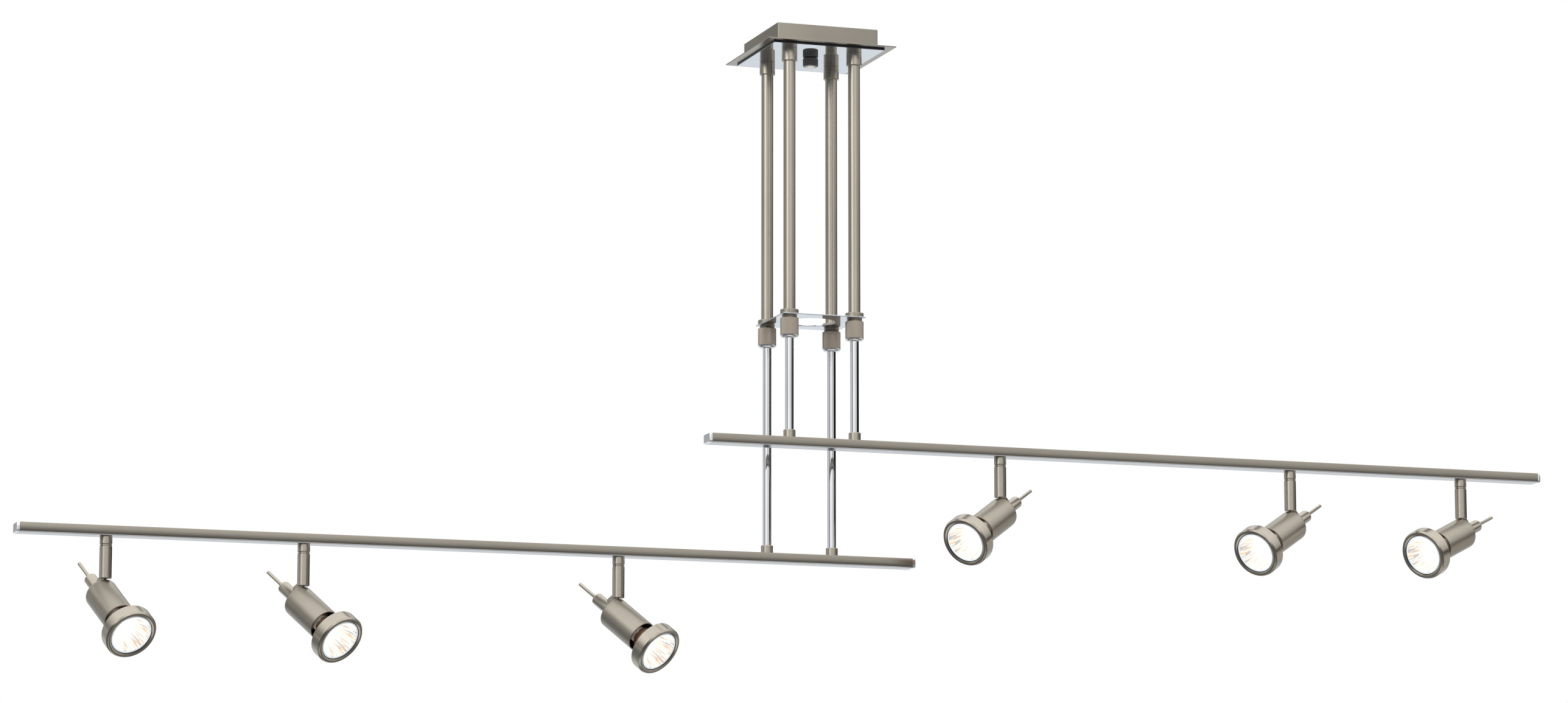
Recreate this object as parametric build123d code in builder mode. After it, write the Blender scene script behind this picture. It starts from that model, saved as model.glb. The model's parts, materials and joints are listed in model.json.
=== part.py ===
"""Six-lamp ceiling track fixture: a square canopy, four telescopic stems and two rails of spot heads.

The ceiling is the plane z = 0 and the object hangs below it. X runs along the rails, and the
viewer stands on the -Y side. The upper rail runs out to +X on the near pair of stems (y = -40) and
the lower rail runs out to -X on the far pair (y = +40). The canopy, the tubes and the spreader
plate are fixed. Each rail slides up and down with its two rods, each spot head swivels on its
stem and tilts on a pin at the stem's foot, and the clamp nuts and the canopy knob turn.
"""
import math
import os

from build123d import *

os.makedirs("parts", exist_ok=True)

# ---- canopy -------------------------------------------------------------------------------
PAN = 124.0            # side of the square ceiling pan
PAN_WALL = 1.2
PAN_FLOOR_Z = -22.1    # underside of the pan's floor
TRIM = 157.8           # side of the trim plate below the pan
TRIM_Z = -23.3         # underside of the trim plate
PANEL = 136.5          # side of the mirror-polished panel
PANEL_Z = -25.5        # underside of the panel
BRACKET = (110.0, 20.0, 2.0)
BOX_SLOTS = 88.9       # spacing of a ceiling box's two screws (3 1/2 inches)
SLOT_LENGTH, SLOT_WIDTH = 12.0, 4.8
STUD_R = 3.0
KNOB_R, KNOB_TOP_Z, KNOB_END_Z = 9.0, -25.9, -36.2

# ---- stems and spreader -------------------------------------------------------------------
STEM = 40.0            # the four stems stand at (+-40, +-40)
TUBE_R, TUBE_WALL = 7.0, 1.0
TUBE_TOP_Z, TUBE_END_Z = -28.7, -338.9
SOCKET_R, SOCKET_END_Z = 9.0, -40.7
NIPPLE_R, NIPPLE_TOP_Z = 6.0, -13.0
PLATE = 101.0          # side of the spreader plate
PLATE_TOP_Z, PLATE_Z = -339.7, -340.9
PLATE_HOLE_R = 29.0
FLANGE_R, FLANGE_TOP_Z = 10.7, -334.7
THREAD_R, THREAD_END_Z = 9.0, -354.0
NUT_R, NUT_TOP_Z, NUT_END_Z = 10.65, -344.5, -367.5
NUT_TAPER, NUT_MOUTH_R = 3.6, 6.2
ROD_R, ROD_WALL = 5.0, 1.0
FIT = 0.04             # radial clearance of a sliding fit

# ---- rails --------------------------------------------------------------------------------
RAIL_W, RAIL_H, RAIL_WALL = 23.2, 9.9, 1.4
STRIP_T = 1.2          # polished strip that closes the underside of the channel
CAP_T = 3.5
SHORT_END, LONG_END = 140.5, 920.0   # distance of the rail's two ends from the canopy's centre
FERRULE_R, FERRULE_H = 7.0, 9.3
HEAD_PLACES = (220.7, 592.0, 817.6)  # distance of the heads from the canopy's centre
#        name, way it runs, top of the rail, length of its rods
RAILS = (("upper", +1, -484.5, 350.0), ("lower", -1, -609.9, 440.0))

# ---- spot heads ---------------------------------------------------------------------------
COLLAR_END = 20.0      # fixed collar's lower end, below the rail's top
STEM_END = 58.7        # swivelling stem's lower end, below the rail's top
HINGE_UP = 4.5         # tilt pin above the stem's lower end
HEAD_STEM_R = 7.0
PIN_R = 1.5
DROP = 21.0            # tilt pin to the head's own axis
SLOT_T, TONGUE_T = 3.9, 3.4
SLOT_UP = 5.4          # the slot ends this far above the tilt pin
# places along the head's axis, forward of the foot of the tilt pin
HANDLE_BACK, NECK_BACK, SHELL_BACK, SHELL_FRONT = -55.8, -24.2, 4.0, 58.0
BEZEL_BACK, BEZEL_FRONT = 76.3, 91.3
HANDLE_R, NECK_R, SHELL_R, SHELL_WALL = 2.0, 7.15, 18.4, 1.3
BEZEL_R, BEZEL_WALL, LIP_R = 30.0, 1.6, 24.5
LAMP_R, LAMP_FRONT, LAMP_RIM = 25.0, 89.8, 3.0
LAMP_NECK_FRONT, LAMP_NECK_BACK, LAMP_PIN_BACK = 57.0, 43.5, 36.5
# number: (rail, place along it, compass aim from +X in degrees, angle below level in degrees)
HEADS = {
    1: ("lower", 2, -70, 38),
    2: ("lower", 1, -59, 36),
    3: ("lower", 0, -56, 36),
    4: ("upper", 0, -149, 30),
    5: ("upper", 1, -152, 28),
    6: ("upper", 2, -155, 23),
}

STEMS = [(x, y) for x in (-STEM, STEM) for y in (-STEM, STEM)]


def upright(x, y, z=0.0):
    """Plane through a vertical axis at (x, y): its local x is the radius, its local y is up."""
    return Plane(origin=(x, y, z), x_dir=(1, 0, 0), z_dir=(0, -1, 0))


def polar(plane, place, count):
    """Locations of pieces spaced round the plane's own axis at a distance along it."""
    return [plane.offset(place).location * Location((0, 0, 0), (0, 0, 360 * k / count + 30))
            for k in range(count)]


# ============================== canopy =====================================================

with BuildPart() as ceiling_bracket:
    with BuildSketch():
        RectangleRounded(BRACKET[0], BRACKET[1], 4)
        with Locations((-BOX_SLOTS / 2, 0), (BOX_SLOTS / 2, 0)):
            SlotOverall(SLOT_LENGTH, SLOT_WIDTH, mode=Mode.SUBTRACT)
        Circle(STUD_R + 0.05, mode=Mode.SUBTRACT)
        with Locations((25, 0)):
            Circle(2.05, mode=Mode.SUBTRACT)
    extrude(amount=-BRACKET[2])
ceiling_bracket.part.label = "ceiling_bracket"
export_step(ceiling_bracket.part, "parts/ceiling_bracket.step")

# the stud that the knob screws on, its nut, the earth screw and the four stem nuts in the pan
with BuildPart() as canopy_fasteners:
    with Locations((0, 0, -0.3)):
        Cylinder(STUD_R, 33.0, align=(Align.CENTER, Align.CENTER, Align.MAX))
    with BuildSketch(Plane.XY.offset(-BRACKET[2] - 0.02)):
        RegularPolygon(5.5, 6)
        Circle(STUD_R + 0.02, mode=Mode.SUBTRACT)
    extrude(amount=-4.5)
    with Locations((25, 0, -0.3)):
        Cylinder(2.0, 6.0, align=(Align.CENTER, Align.CENTER, Align.MAX))
    with Locations((25, 0, -2.05)):
        Cylinder(4.0, 2.4, align=(Align.CENTER, Align.CENTER, Align.MAX))
    with BuildSketch(Plane.XY.offset(PAN_FLOOR_Z + PAN_WALL)):
        with Locations(*STEMS):
            RegularPolygon(9.2, 6)
            Circle(NIPPLE_R + 0.03, mode=Mode.SUBTRACT)
    extrude(amount=4.0)
canopy_fasteners.part.label = "canopy_fasteners"
export_step(canopy_fasteners.part, "parts/canopy_fasteners.step")

with BuildPart() as canopy_pan:
    with BuildSketch():
        RectangleRounded(PAN, PAN, 1.6)
    extrude(amount=PAN_FLOOR_Z)
    with BuildSketch():
        RectangleRounded(PAN - 2 * PAN_WALL, PAN - 2 * PAN_WALL, 0.6)
    extrude(amount=PAN_FLOOR_Z + PAN_WALL, mode=Mode.SUBTRACT)
    with Locations(*STEMS):
        Hole(NIPPLE_R + 0.05, depth=30)
    Hole(STUD_R + 0.1, depth=30)
canopy_pan.part.label = "canopy_pan"
export_step(canopy_pan.part, "parts/canopy_pan.step")

with BuildPart() as trim_plate:
    with BuildSketch(Plane.XY.offset(TRIM_Z)):
        RectangleRounded(TRIM, TRIM, 0.8)
        with Locations(*STEMS):
            Circle(NIPPLE_R + 0.05, mode=Mode.SUBTRACT)
        Circle(STUD_R + 0.1, mode=Mode.SUBTRACT)
    extrude(amount=PAN_FLOOR_Z - TRIM_Z)
trim_plate.part.label = "trim_plate"
export_step(trim_plate.part, "parts/trim_plate.step")

with BuildPart() as mirror_panel:
    with BuildSketch(Plane.XY.offset(PANEL_Z)):
        RectangleRounded(PANEL, PANEL, 0.6)
        with Locations(*STEMS):
            Circle(NIPPLE_R + 0.05, mode=Mode.SUBTRACT)
        Circle(STUD_R + 0.1, mode=Mode.SUBTRACT)
    extrude(amount=TRIM_Z - PANEL_Z)
    chamfer(mirror_panel.faces().sort_by(Axis.Z)[0].outer_wire().edges(), 0.3)
mirror_panel.part.label = "mirror_panel"
export_step(mirror_panel.part, "parts/mirror_panel.step")

with BuildPart() as canopy_knob:
    with Locations((0, 0, KNOB_TOP_Z)):
        Cylinder(KNOB_R, KNOB_TOP_Z - KNOB_END_Z, align=(Align.CENTER, Align.CENTER, Align.MAX))
    chamfer(canopy_knob.edges().filter_by(GeomType.CIRCLE), 0.7)
    with Locations((0, 0, KNOB_TOP_Z)):
        Hole(STUD_R + 0.06, depth=KNOB_TOP_Z - KNOB_END_Z - 2.5)
canopy_knob.part.label = "canopy_knob"
export_step(canopy_knob.part, "parts/canopy_knob.step")

# a three-way terminal block on the pan's floor
with BuildPart() as terminal_block:
    with Locations((0, 24, PAN_FLOOR_Z + PAN_WALL)):
        Box(36, 14, 10, align=(Align.CENTER, Align.CENTER, Align.MIN))
    fillet(terminal_block.edges().filter_by(Axis.Z), 1.2)
    with Locations(terminal_block.faces().sort_by(Axis.Z)[-1]):
        with GridLocations(12, 7, 3, 2):
            CounterBoreHole(1.6, 2.4, 2.0, depth=7)
terminal_block.part.label = "terminal_block"
export_step(terminal_block.part, "parts/terminal_block.step")

# ============================== stems and spreader =========================================

# each socket is a collar under the panel with a hollow threaded nipple up into the pan
with BuildPart() as stem_sockets:
    with BuildSketch(Plane.XY.offset(PANEL_Z)):
        with Locations(*STEMS):
            Circle(SOCKET_R)
    extrude(amount=SOCKET_END_Z - PANEL_Z)
    fillet(stem_sockets.edges().filter_by(GeomType.CIRCLE).group_by(Axis.Z)[0], 0.5)
    with BuildSketch(Plane.XY.offset(PANEL_Z)):
        with Locations(*STEMS):
            Circle(NIPPLE_R)
    extrude(amount=NIPPLE_TOP_Z - PANEL_Z)
    with Locations(*[(x, y, NIPPLE_TOP_Z) for x, y in STEMS]):
        Hole(4.0, depth=40)
    with BuildSketch(Plane.XY.offset(SOCKET_END_Z)):
        with Locations(*STEMS):
            Circle(TUBE_R + 0.03)
    extrude(amount=TUBE_TOP_Z + 0.1 - SOCKET_END_Z, mode=Mode.SUBTRACT)
stem_sockets.part.label = "stem_sockets"
export_step(stem_sockets.part, "parts/stem_sockets.step")

with BuildPart() as outer_tubes:
    with BuildSketch(Plane.XY.offset(TUBE_TOP_Z)):
        with Locations(*STEMS):
            Circle(TUBE_R)
            Circle(TUBE_R - TUBE_WALL, mode=Mode.SUBTRACT)
    extrude(amount=TUBE_END_Z - TUBE_TOP_Z)
outer_tubes.part.label = "outer_tubes"
export_step(outer_tubes.part, "parts/outer_tubes.step")

with BuildPart() as spreader_plate:
    with BuildSketch(Plane.XY.offset(PLATE_Z)):
        RectangleRounded(PLATE, PLATE, 1.0)
        Circle(PLATE_HOLE_R, mode=Mode.SUBTRACT)
        with Locations(*STEMS):
            Circle(THREAD_R + 0.05, mode=Mode.SUBTRACT)
    extrude(amount=PLATE_TOP_Z - PLATE_Z)
spreader_plate.part.label = "spreader_plate"
export_step(spreader_plate.part, "parts/spreader_plate.step")

# flanged threaded bushes: the flange sits on the plate and takes the tube, the thread hangs below
with BuildPart() as clamp_bushes:
    with BuildSketch(Plane.XY.offset(PLATE_TOP_Z)):
        with Locations(*STEMS):
            Circle(FLANGE_R)
    extrude(amount=FLANGE_TOP_Z - PLATE_TOP_Z)
    fillet(clamp_bushes.edges().filter_by(GeomType.CIRCLE).group_by(Axis.Z)[-1], 1.2)
    with BuildSketch(Plane.XY.offset(PLATE_TOP_Z)):
        with Locations(*STEMS):
            Circle(THREAD_R)
    extrude(amount=THREAD_END_Z - PLATE_TOP_Z)
    with Locations(*[(x, y, FLANGE_TOP_Z) for x, y in STEMS]):
        CounterBoreHole(ROD_R + FIT, TUBE_R + 0.03, FLANGE_TOP_Z - TUBE_END_Z + 0.1, depth=40)
clamp_bushes.part.label = "clamp_bushes"
export_step(clamp_bushes.part, "parts/clamp_bushes.step")

# split nylon collets that the nuts squeeze on the rods
COLLET_TOP_Z, COLLET_END_Z = THREAD_END_Z - 0.2, NUT_END_Z + 6.2
with BuildPart() as clamp_collets:
    with BuildSketch(Plane.XY.offset(COLLET_TOP_Z)):
        with Locations(*STEMS):
            Circle(THREAD_R - 0.1)
            Circle(ROD_R + FIT, mode=Mode.SUBTRACT)
            with Locations((THREAD_R - 2, 0)):
                Rectangle(5, 1.2, mode=Mode.SUBTRACT)
    extrude(amount=COLLET_END_Z - COLLET_TOP_Z)
clamp_collets.part.label = "clamp_collets"
export_step(clamp_collets.part, "parts/clamp_collets.step")

for number, (x, y) in enumerate(STEMS, start=1):
    name = f"clamp_nut_{number}"
    with BuildPart() as clamp_nut:
        with BuildSketch(upright(x, y)):
            with BuildLine():
                Polyline((THREAD_R + 0.07, NUT_TOP_Z), (NUT_R - 0.5, NUT_TOP_Z),
                         (NUT_R, NUT_TOP_Z - 0.5), (NUT_R, NUT_END_Z + NUT_TAPER),
                         (NUT_MOUTH_R, NUT_END_Z), (ROD_R + 0.25, NUT_END_Z),
                         (ROD_R + 0.25, COLLET_END_Z - 0.2), (THREAD_R + 0.07, COLLET_END_Z - 0.2),
                         close=True)
            make_face()
        revolve(axis=Axis((x, y, 0), (0, 0, 1)))
    clamp_nut.part.label = name
    export_step(clamp_nut.part, f"parts/{name}.step")

# ============================== rails ======================================================

for name, way, top, rod_length in RAILS:
    y = -way * STEM
    start, end = sorted((-way * (SHORT_END - CAP_T), way * (LONG_END - CAP_T)))
    rods_at = [(x, y) for x in (-STEM, STEM)]
    heads_at = [(way * place, y) for place in HEAD_PLACES]

    # a channel, open below
    with BuildPart() as rail:
        with BuildSketch(Plane.YZ.offset(start)):
            with Locations((y, top - RAIL_H / 2)):
                Rectangle(RAIL_W, RAIL_H)
            with Locations((y, top - RAIL_H / 2 - RAIL_WALL)):
                Rectangle(RAIL_W - 2 * RAIL_WALL, RAIL_H, mode=Mode.SUBTRACT)
        extrude(amount=end - start)
        fillet(rail.edges().filter_by(Axis.X).group_by(Axis.Z)[-1], 0.8)
        with Locations(*[(px, py, top) for px, py in rods_at]):
            Hole(ROD_R + 0.03, depth=4)
    rail.part.label = f"{name}_rail"
    export_step(rail.part, f"parts/{name}_rail.step")

    # polished trim: the strip under the channel, with a rib inside it and a wire hole at each head,
    # and a cap on each end, a rounded block outside with a plug inside the channel
    cap_h = RAIL_H + STRIP_T
    with BuildPart() as trim:
        with Locations(((start + end) / 2, y, top - RAIL_H)):
            Box(end - start - 0.1, RAIL_W, STRIP_T, align=(Align.CENTER, Align.CENTER, Align.MAX))
        fillet(trim.edges().filter_by(Axis.X).group_by(Axis.Z)[0], 0.9)
        with Locations(((start + end) / 2, y, top - RAIL_H)):
            Box(end - start - 18, RAIL_W - 2 * RAIL_WALL - 0.2, 1.4,
                align=(Align.CENTER, Align.CENTER, Align.MIN))
        with Locations(*[(px, py, top - RAIL_H + 2) for px, py in heads_at]):
            Hole(3.5, depth=6)
        for edge, out in ((start, -1), (end, 1)):
            with Locations((edge + out * CAP_T / 2, y, top - cap_h / 2)):
                Box(CAP_T, RAIL_W, cap_h)
        outer_faces = trim.faces().filter_by(Axis.X).sort_by(Axis.X)
        fillet(outer_faces[0].edges() + outer_faces[-1].edges(), 1.6)
        for edge, out in ((start, -1), (end, 1)):
            with Locations((edge - out * 4, y, top - RAIL_WALL - 0.1)):
                Box(8, RAIL_W - 2 * RAIL_WALL - 0.2, RAIL_H - RAIL_WALL - 0.2,
                    align=(Align.CENTER, Align.CENTER, Align.MAX))
    trim.part.label = f"{name}_rail_trim"
    export_step(trim.part, f"parts/{name}_rail_trim.step")

    # hollow rods, from just inside the channel up into the outer tubes
    with BuildPart() as rods:
        with BuildSketch(Plane.XY.offset(top - RAIL_WALL - 1.0)):
            with Locations(*rods_at):
                Circle(ROD_R)
                Circle(ROD_R - ROD_WALL, mode=Mode.SUBTRACT)
        extrude(amount=rod_length)
    rods.part.label = f"{name}_rods"
    export_step(rods.part, f"parts/{name}_rods.step")

    # turned collars: two ferrules that hold the rods on the rail, and below the rail the three
    # that the head stems turn in, each with a ledge under the stem's flange
    strip_z = top - RAIL_H - STRIP_T
    with BuildPart() as collars:
        with BuildSketch(Plane.XY.offset(top)):
            with Locations(*rods_at):
                Circle(FERRULE_R)
                Circle(ROD_R + 0.02, mode=Mode.SUBTRACT)
        extrude(amount=FERRULE_H)
        rims = collars.faces().sort_by(Axis.Z)[-2:].edges().group_by(SortBy.RADIUS)[-1]
        chamfer(rims, 0.5)
        with BuildSketch(Plane.XY.offset(strip_z)):
            with Locations(*heads_at):
                Circle(HEAD_STEM_R)
                Circle(6.2, mode=Mode.SUBTRACT)
        extrude(amount=-4.0)
        with BuildSketch(Plane.XY.offset(strip_z - 4.0)):
            with Locations(*heads_at):
                Circle(HEAD_STEM_R)
                Circle(5.0, mode=Mode.SUBTRACT)
        extrude(amount=top - COLLAR_END - (strip_z - 4.0))
    collars.part.label = f"{name}_rail_collars"
    export_step(collars.part, f"parts/{name}_rail_collars.step")

# ============================== spot heads =================================================

for number, (rail_name, place, aim, dip) in HEADS.items():
    way, top = next((way, top) for name, way, top, _ in RAILS if name == rail_name)
    a, b = math.radians(aim), math.radians(dip)
    level = Vector(math.cos(a), math.sin(a), 0)
    pin = Vector(way * HEAD_PLACES[place], -way * STEM, top - STEM_END + HINGE_UP)
    forward = level * math.cos(b) - Vector(0, 0, math.sin(b))
    across = Vector(math.sin(a), -math.cos(a), 0)
    foot = pin - (level * math.sin(b) + Vector(0, 0, math.cos(b))) * DROP
    stem_side = Plane(origin=pin, x_dir=level, z_dir=across)       # x level and ahead, y up
    head_side = Plane(origin=foot, x_dir=forward, z_dir=across)    # x along the head, y to the pin
    head_axis = Axis(foot, forward)
    lamp_front = Plane(origin=foot, x_dir=across, z_dir=forward)

    # swivelling stem: a flange and spigot in the collar, a spacer ring, a slotted foot, the pin
    collar_end = STEM_END - HINGE_UP - COLLAR_END     # heights above the tilt pin
    strip_end = STEM_END - HINGE_UP - RAIL_H - STRIP_T
    with BuildPart() as stem:
        with BuildSketch(stem_side):
            with BuildLine():
                Polyline((3, strip_end - 2.0), (6.05, strip_end - 2.0), (6.05, strip_end - 3.8),
                         (4.93, strip_end - 3.8), (4.93, collar_end - 0.4),
                         (6.7, collar_end - 0.4), (6.7, collar_end - 1.9),
                         (5.6, collar_end - 1.9), (5.6, collar_end - 2.4),
                         (HEAD_STEM_R, collar_end - 2.4), (HEAD_STEM_R, -HINGE_UP + 0.7),
                         (HEAD_STEM_R - 0.7, -HINGE_UP), (3, -HINGE_UP), close=True)
            make_face()
        revolve(axis=Axis(pin, (0, 0, 1)))
        with BuildSketch(stem_side):
            with Locations((0, SLOT_UP)):
                Rectangle(HEAD_STEM_R * 2 + 2, SLOT_UP + HINGE_UP + 1, align=(Align.CENTER, Align.MAX))
        extrude(amount=SLOT_T / 2, both=True, mode=Mode.SUBTRACT)
        with BuildSketch(stem_side):
            Circle(PIN_R + 0.02)
        extrude(amount=HEAD_STEM_R + 1, both=True, mode=Mode.SUBTRACT)
        with BuildSketch(stem_side):
            Circle(PIN_R)
        extrude(amount=HEAD_STEM_R - 0.4, both=True)
    stem.part.label = f"head_{number}_stem"
    export_step(stem.part, f"parts/head_{number}_stem.step")

    # neck, aiming handle and the flat tongue that hangs the head on the tilt pin, one piece
    with BuildPart() as tail:
        with BuildSketch(head_side):
            with BuildLine():
                Polyline((HANDLE_BACK, 0), (HANDLE_BACK, HANDLE_R - 0.5),
                         (HANDLE_BACK + 0.5, HANDLE_R), (NECK_BACK, HANDLE_R),
                         (NECK_BACK, NECK_R - 0.8), (NECK_BACK + 0.8, NECK_R),
                         (SHELL_BACK, NECK_R), (SHELL_BACK, 4.0), (SHELL_BACK + 4, 4.0),
                         (SHELL_BACK + 4, 0), close=True)
            make_face()
        revolve(axis=head_axis)
        with BuildSketch(head_side):
            with BuildLine():
                Polyline((-4.2, DROP), (-9.0, 8.5), (-9.0, 4.0), (2.0, 4.0), (2.0, 9.0),
                         (4.2, DROP), close=True)
            make_face()
            with Locations((0, DROP)):
                Circle(4.2)
        extrude(amount=TONGUE_T / 2, both=True)
        with BuildSketch(head_side):
            with Locations((0, DROP)):
                Circle(PIN_R + 0.05)
        extrude(amount=TONGUE_T, both=True, mode=Mode.SUBTRACT)
    tail.part.label = f"head_{number}_tail"
    export_step(tail.part, f"parts/head_{number}_tail.step")

    # open-mouthed shell round the lampholder
    with BuildPart() as shell:
        with BuildSketch(head_side):
            with BuildLine():
                Polyline((SHELL_BACK, 4.03), (SHELL_BACK, SHELL_R), (SHELL_FRONT, SHELL_R),
                         (SHELL_FRONT, SHELL_R - SHELL_WALL),
                         (SHELL_BACK + 2.0, SHELL_R - SHELL_WALL), (SHELL_BACK + 2.0, 4.03),
                         close=True)
            make_face()
        revolve(axis=head_axis)
        rounds = shell.edges().filter_by(GeomType.CIRCLE).sort_by(head_axis)
        fillet(rounds.filter_by(lambda e: abs(e.radius - SHELL_R) < 0.01)[0], 3.0)
        inner = shell.edges().filter_by(GeomType.CIRCLE).sort_by(head_axis)
        fillet(inner.filter_by(lambda e: abs(e.radius - SHELL_R + SHELL_WALL) < 0.01)[0], 1.7)
    shell.part.label = f"head_{number}_shell"
    export_step(shell.part, f"parts/head_{number}_shell.step")

    # ceramic lampholder on a stalk, with two keyholes for the lamp's pins
    with BuildPart() as holder:
        with BuildSketch(head_side):
            with BuildLine():
                Polyline((SHELL_BACK + 4.1, 0), (SHELL_BACK + 4.1, 6), (22, 6), (22, 12.5),
                         (23, 13.5), (LAMP_NECK_BACK - 0.3, 13.5), (LAMP_NECK_BACK - 0.3, 0),
                         close=True)
            make_face()
        revolve(axis=head_axis)
        with BuildSketch(lamp_front.offset(LAMP_PIN_BACK - 0.5)):
            with Locations((-5, 0), (5, 0)):
                Circle(2.7)
        extrude(amount=10, mode=Mode.SUBTRACT)
    holder.part.label = f"head_{number}_lampholder"
    export_step(holder.part, f"parts/head_{number}_lampholder.step")

    # reflector lamp: a cup with a rim, a ceramic neck with two pins, and the front glass
    cup_back, rim_back = LAMP_NECK_FRONT, LAMP_FRONT - LAMP_RIM
    with BuildPart() as lamp:
        with BuildSketch(head_side):
            with BuildLine():
                Line((cup_back, 0), (cup_back, 11.5))
                ThreePointArc((cup_back, 11.5), (70, 18.9), (rim_back, 23.8))
                Polyline((rim_back, 23.8), (rim_back, LAMP_R), (LAMP_FRONT, LAMP_R),
                         (LAMP_FRONT, 23.4), (rim_back + 0.8, 22.6))
                ThreePointArc((rim_back + 0.8, 22.6), (70, 17.3), (cup_back + 3, 9))
                Polyline((cup_back + 3, 9), (cup_back + 3, 0), (cup_back, 0))
            make_face()
        revolve(axis=head_axis)
        with BuildSketch(lamp_front.offset(LAMP_NECK_BACK)):
            RectangleRounded(22, 15, 3)
        extrude(amount=LAMP_NECK_FRONT - LAMP_NECK_BACK)
        with BuildSketch(lamp_front.offset(LAMP_PIN_BACK)):
            with Locations((-5, 0), (5, 0)):
                Circle(2.4)
        extrude(amount=LAMP_NECK_BACK - LAMP_PIN_BACK)
        with BuildSketch(lamp_front.offset(rim_back + 1.0)):
            Circle(22.5)
        extrude(amount=LAMP_RIM - 1.4)
    lamp.part.label = f"head_{number}_lamp"
    export_step(lamp.part, f"parts/head_{number}_lamp.step")

    # bezel ring: a front lip that the lamp's rim rests behind, and three spring clips
    with BuildPart() as bezel:
        with BuildSketch(head_side):
            with BuildLine():
                inside = BEZEL_R - BEZEL_WALL
                Polyline((BEZEL_BACK, inside), (BEZEL_BACK, BEZEL_R - 0.4),
                         (BEZEL_BACK + 0.4, BEZEL_R), (BEZEL_FRONT - 1.2, BEZEL_R),
                         (BEZEL_FRONT, BEZEL_R - 1.2), (BEZEL_FRONT, LIP_R),
                         (LAMP_FRONT + 0.1, LIP_R), (LAMP_FRONT + 0.1, LAMP_R + 0.2),
                         (rim_back + 0.2, LAMP_R + 0.2), (rim_back + 0.2, inside), close=True)
            make_face()
        revolve(axis=head_axis)
        for spot in polar(lamp_front, BEZEL_BACK - 1.2, 3):
            with Locations(spot * Location((inside - 0.1, 0, 0))):
                Box(1.0, 6, rim_back - BEZEL_BACK + 1.0, align=(Align.MAX, Align.CENTER, Align.MIN))
            with Locations(spot * Location((inside - 0.1, 0, rim_back - BEZEL_BACK + 0.1))):
                Box(inside - 0.1 - 24.4, 6, 0.9, align=(Align.MAX, Align.CENTER, Align.MIN))
    bezel.part.label = f"head_{number}_bezel"
    export_step(bezel.part, f"parts/head_{number}_bezel.step")
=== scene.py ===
"""Looks of a ceiling track fixture with six spot heads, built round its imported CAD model.

Every visible piece is a surface worked out with numpy in millimetres, on the frame's own axes, and
put into a mesh in metres. Places come from the frame's boxes and joints.
"""

import json
import math

import bmesh
import bpy
import numpy as np
from bpy.props import FloatProperty, FloatVectorProperty, IntProperty, PointerProperty
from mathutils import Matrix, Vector

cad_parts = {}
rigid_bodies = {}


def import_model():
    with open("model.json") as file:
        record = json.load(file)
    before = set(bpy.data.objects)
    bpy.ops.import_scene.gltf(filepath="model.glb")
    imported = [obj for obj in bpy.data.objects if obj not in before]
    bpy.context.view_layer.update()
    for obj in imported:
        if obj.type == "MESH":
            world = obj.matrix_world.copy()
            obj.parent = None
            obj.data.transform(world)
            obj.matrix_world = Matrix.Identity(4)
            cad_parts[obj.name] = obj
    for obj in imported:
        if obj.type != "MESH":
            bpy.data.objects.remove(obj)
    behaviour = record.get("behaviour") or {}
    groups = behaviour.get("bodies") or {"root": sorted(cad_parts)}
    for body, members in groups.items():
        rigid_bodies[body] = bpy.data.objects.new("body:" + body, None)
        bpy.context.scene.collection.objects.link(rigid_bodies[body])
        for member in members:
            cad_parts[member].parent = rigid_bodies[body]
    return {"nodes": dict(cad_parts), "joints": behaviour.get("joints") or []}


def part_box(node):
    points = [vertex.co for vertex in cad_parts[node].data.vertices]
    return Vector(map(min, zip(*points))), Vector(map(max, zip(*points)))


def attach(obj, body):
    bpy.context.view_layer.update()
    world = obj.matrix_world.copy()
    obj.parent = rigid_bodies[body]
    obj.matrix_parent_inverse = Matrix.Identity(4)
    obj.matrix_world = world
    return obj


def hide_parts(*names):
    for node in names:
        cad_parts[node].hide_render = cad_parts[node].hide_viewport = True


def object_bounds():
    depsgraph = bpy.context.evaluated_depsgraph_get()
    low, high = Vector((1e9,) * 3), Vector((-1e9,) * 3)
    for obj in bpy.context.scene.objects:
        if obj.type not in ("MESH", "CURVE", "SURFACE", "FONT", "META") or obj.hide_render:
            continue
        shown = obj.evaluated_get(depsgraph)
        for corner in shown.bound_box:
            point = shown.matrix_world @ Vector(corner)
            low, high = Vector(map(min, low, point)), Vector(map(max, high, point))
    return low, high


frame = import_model()
cad_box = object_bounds()

bl_info = {
    "name": "Track Light",
    "version": (1, 0, 0),
    "blender": (4, 5, 0),
    "location": "3D View > Sidebar > Track Light",
    "description": "Builds the visible pieces, finishes and studio of a six-lamp track light",
    "category": "Object",
}

MM = 0.001
SHARP = 38.0           # edges that turn by more degrees than this aren't smoothed over
UP = np.array((0.0, 0.0, 1.0))
EAST = np.array((1.0, 0.0, 0.0))
NORTH = np.array((0.0, 1.0, 0.0))
JOINTS = {joint["name"]: joint for joint in frame["joints"]}
STEMS = [np.array(JOINTS[f"nut_{n}_turn"]["pos_m"]) / MM for n in (1, 2, 3, 4)]
LOWEST_DIP = 18.0      # degrees below level at which a head's tilt ends; each joint counts from rest

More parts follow.
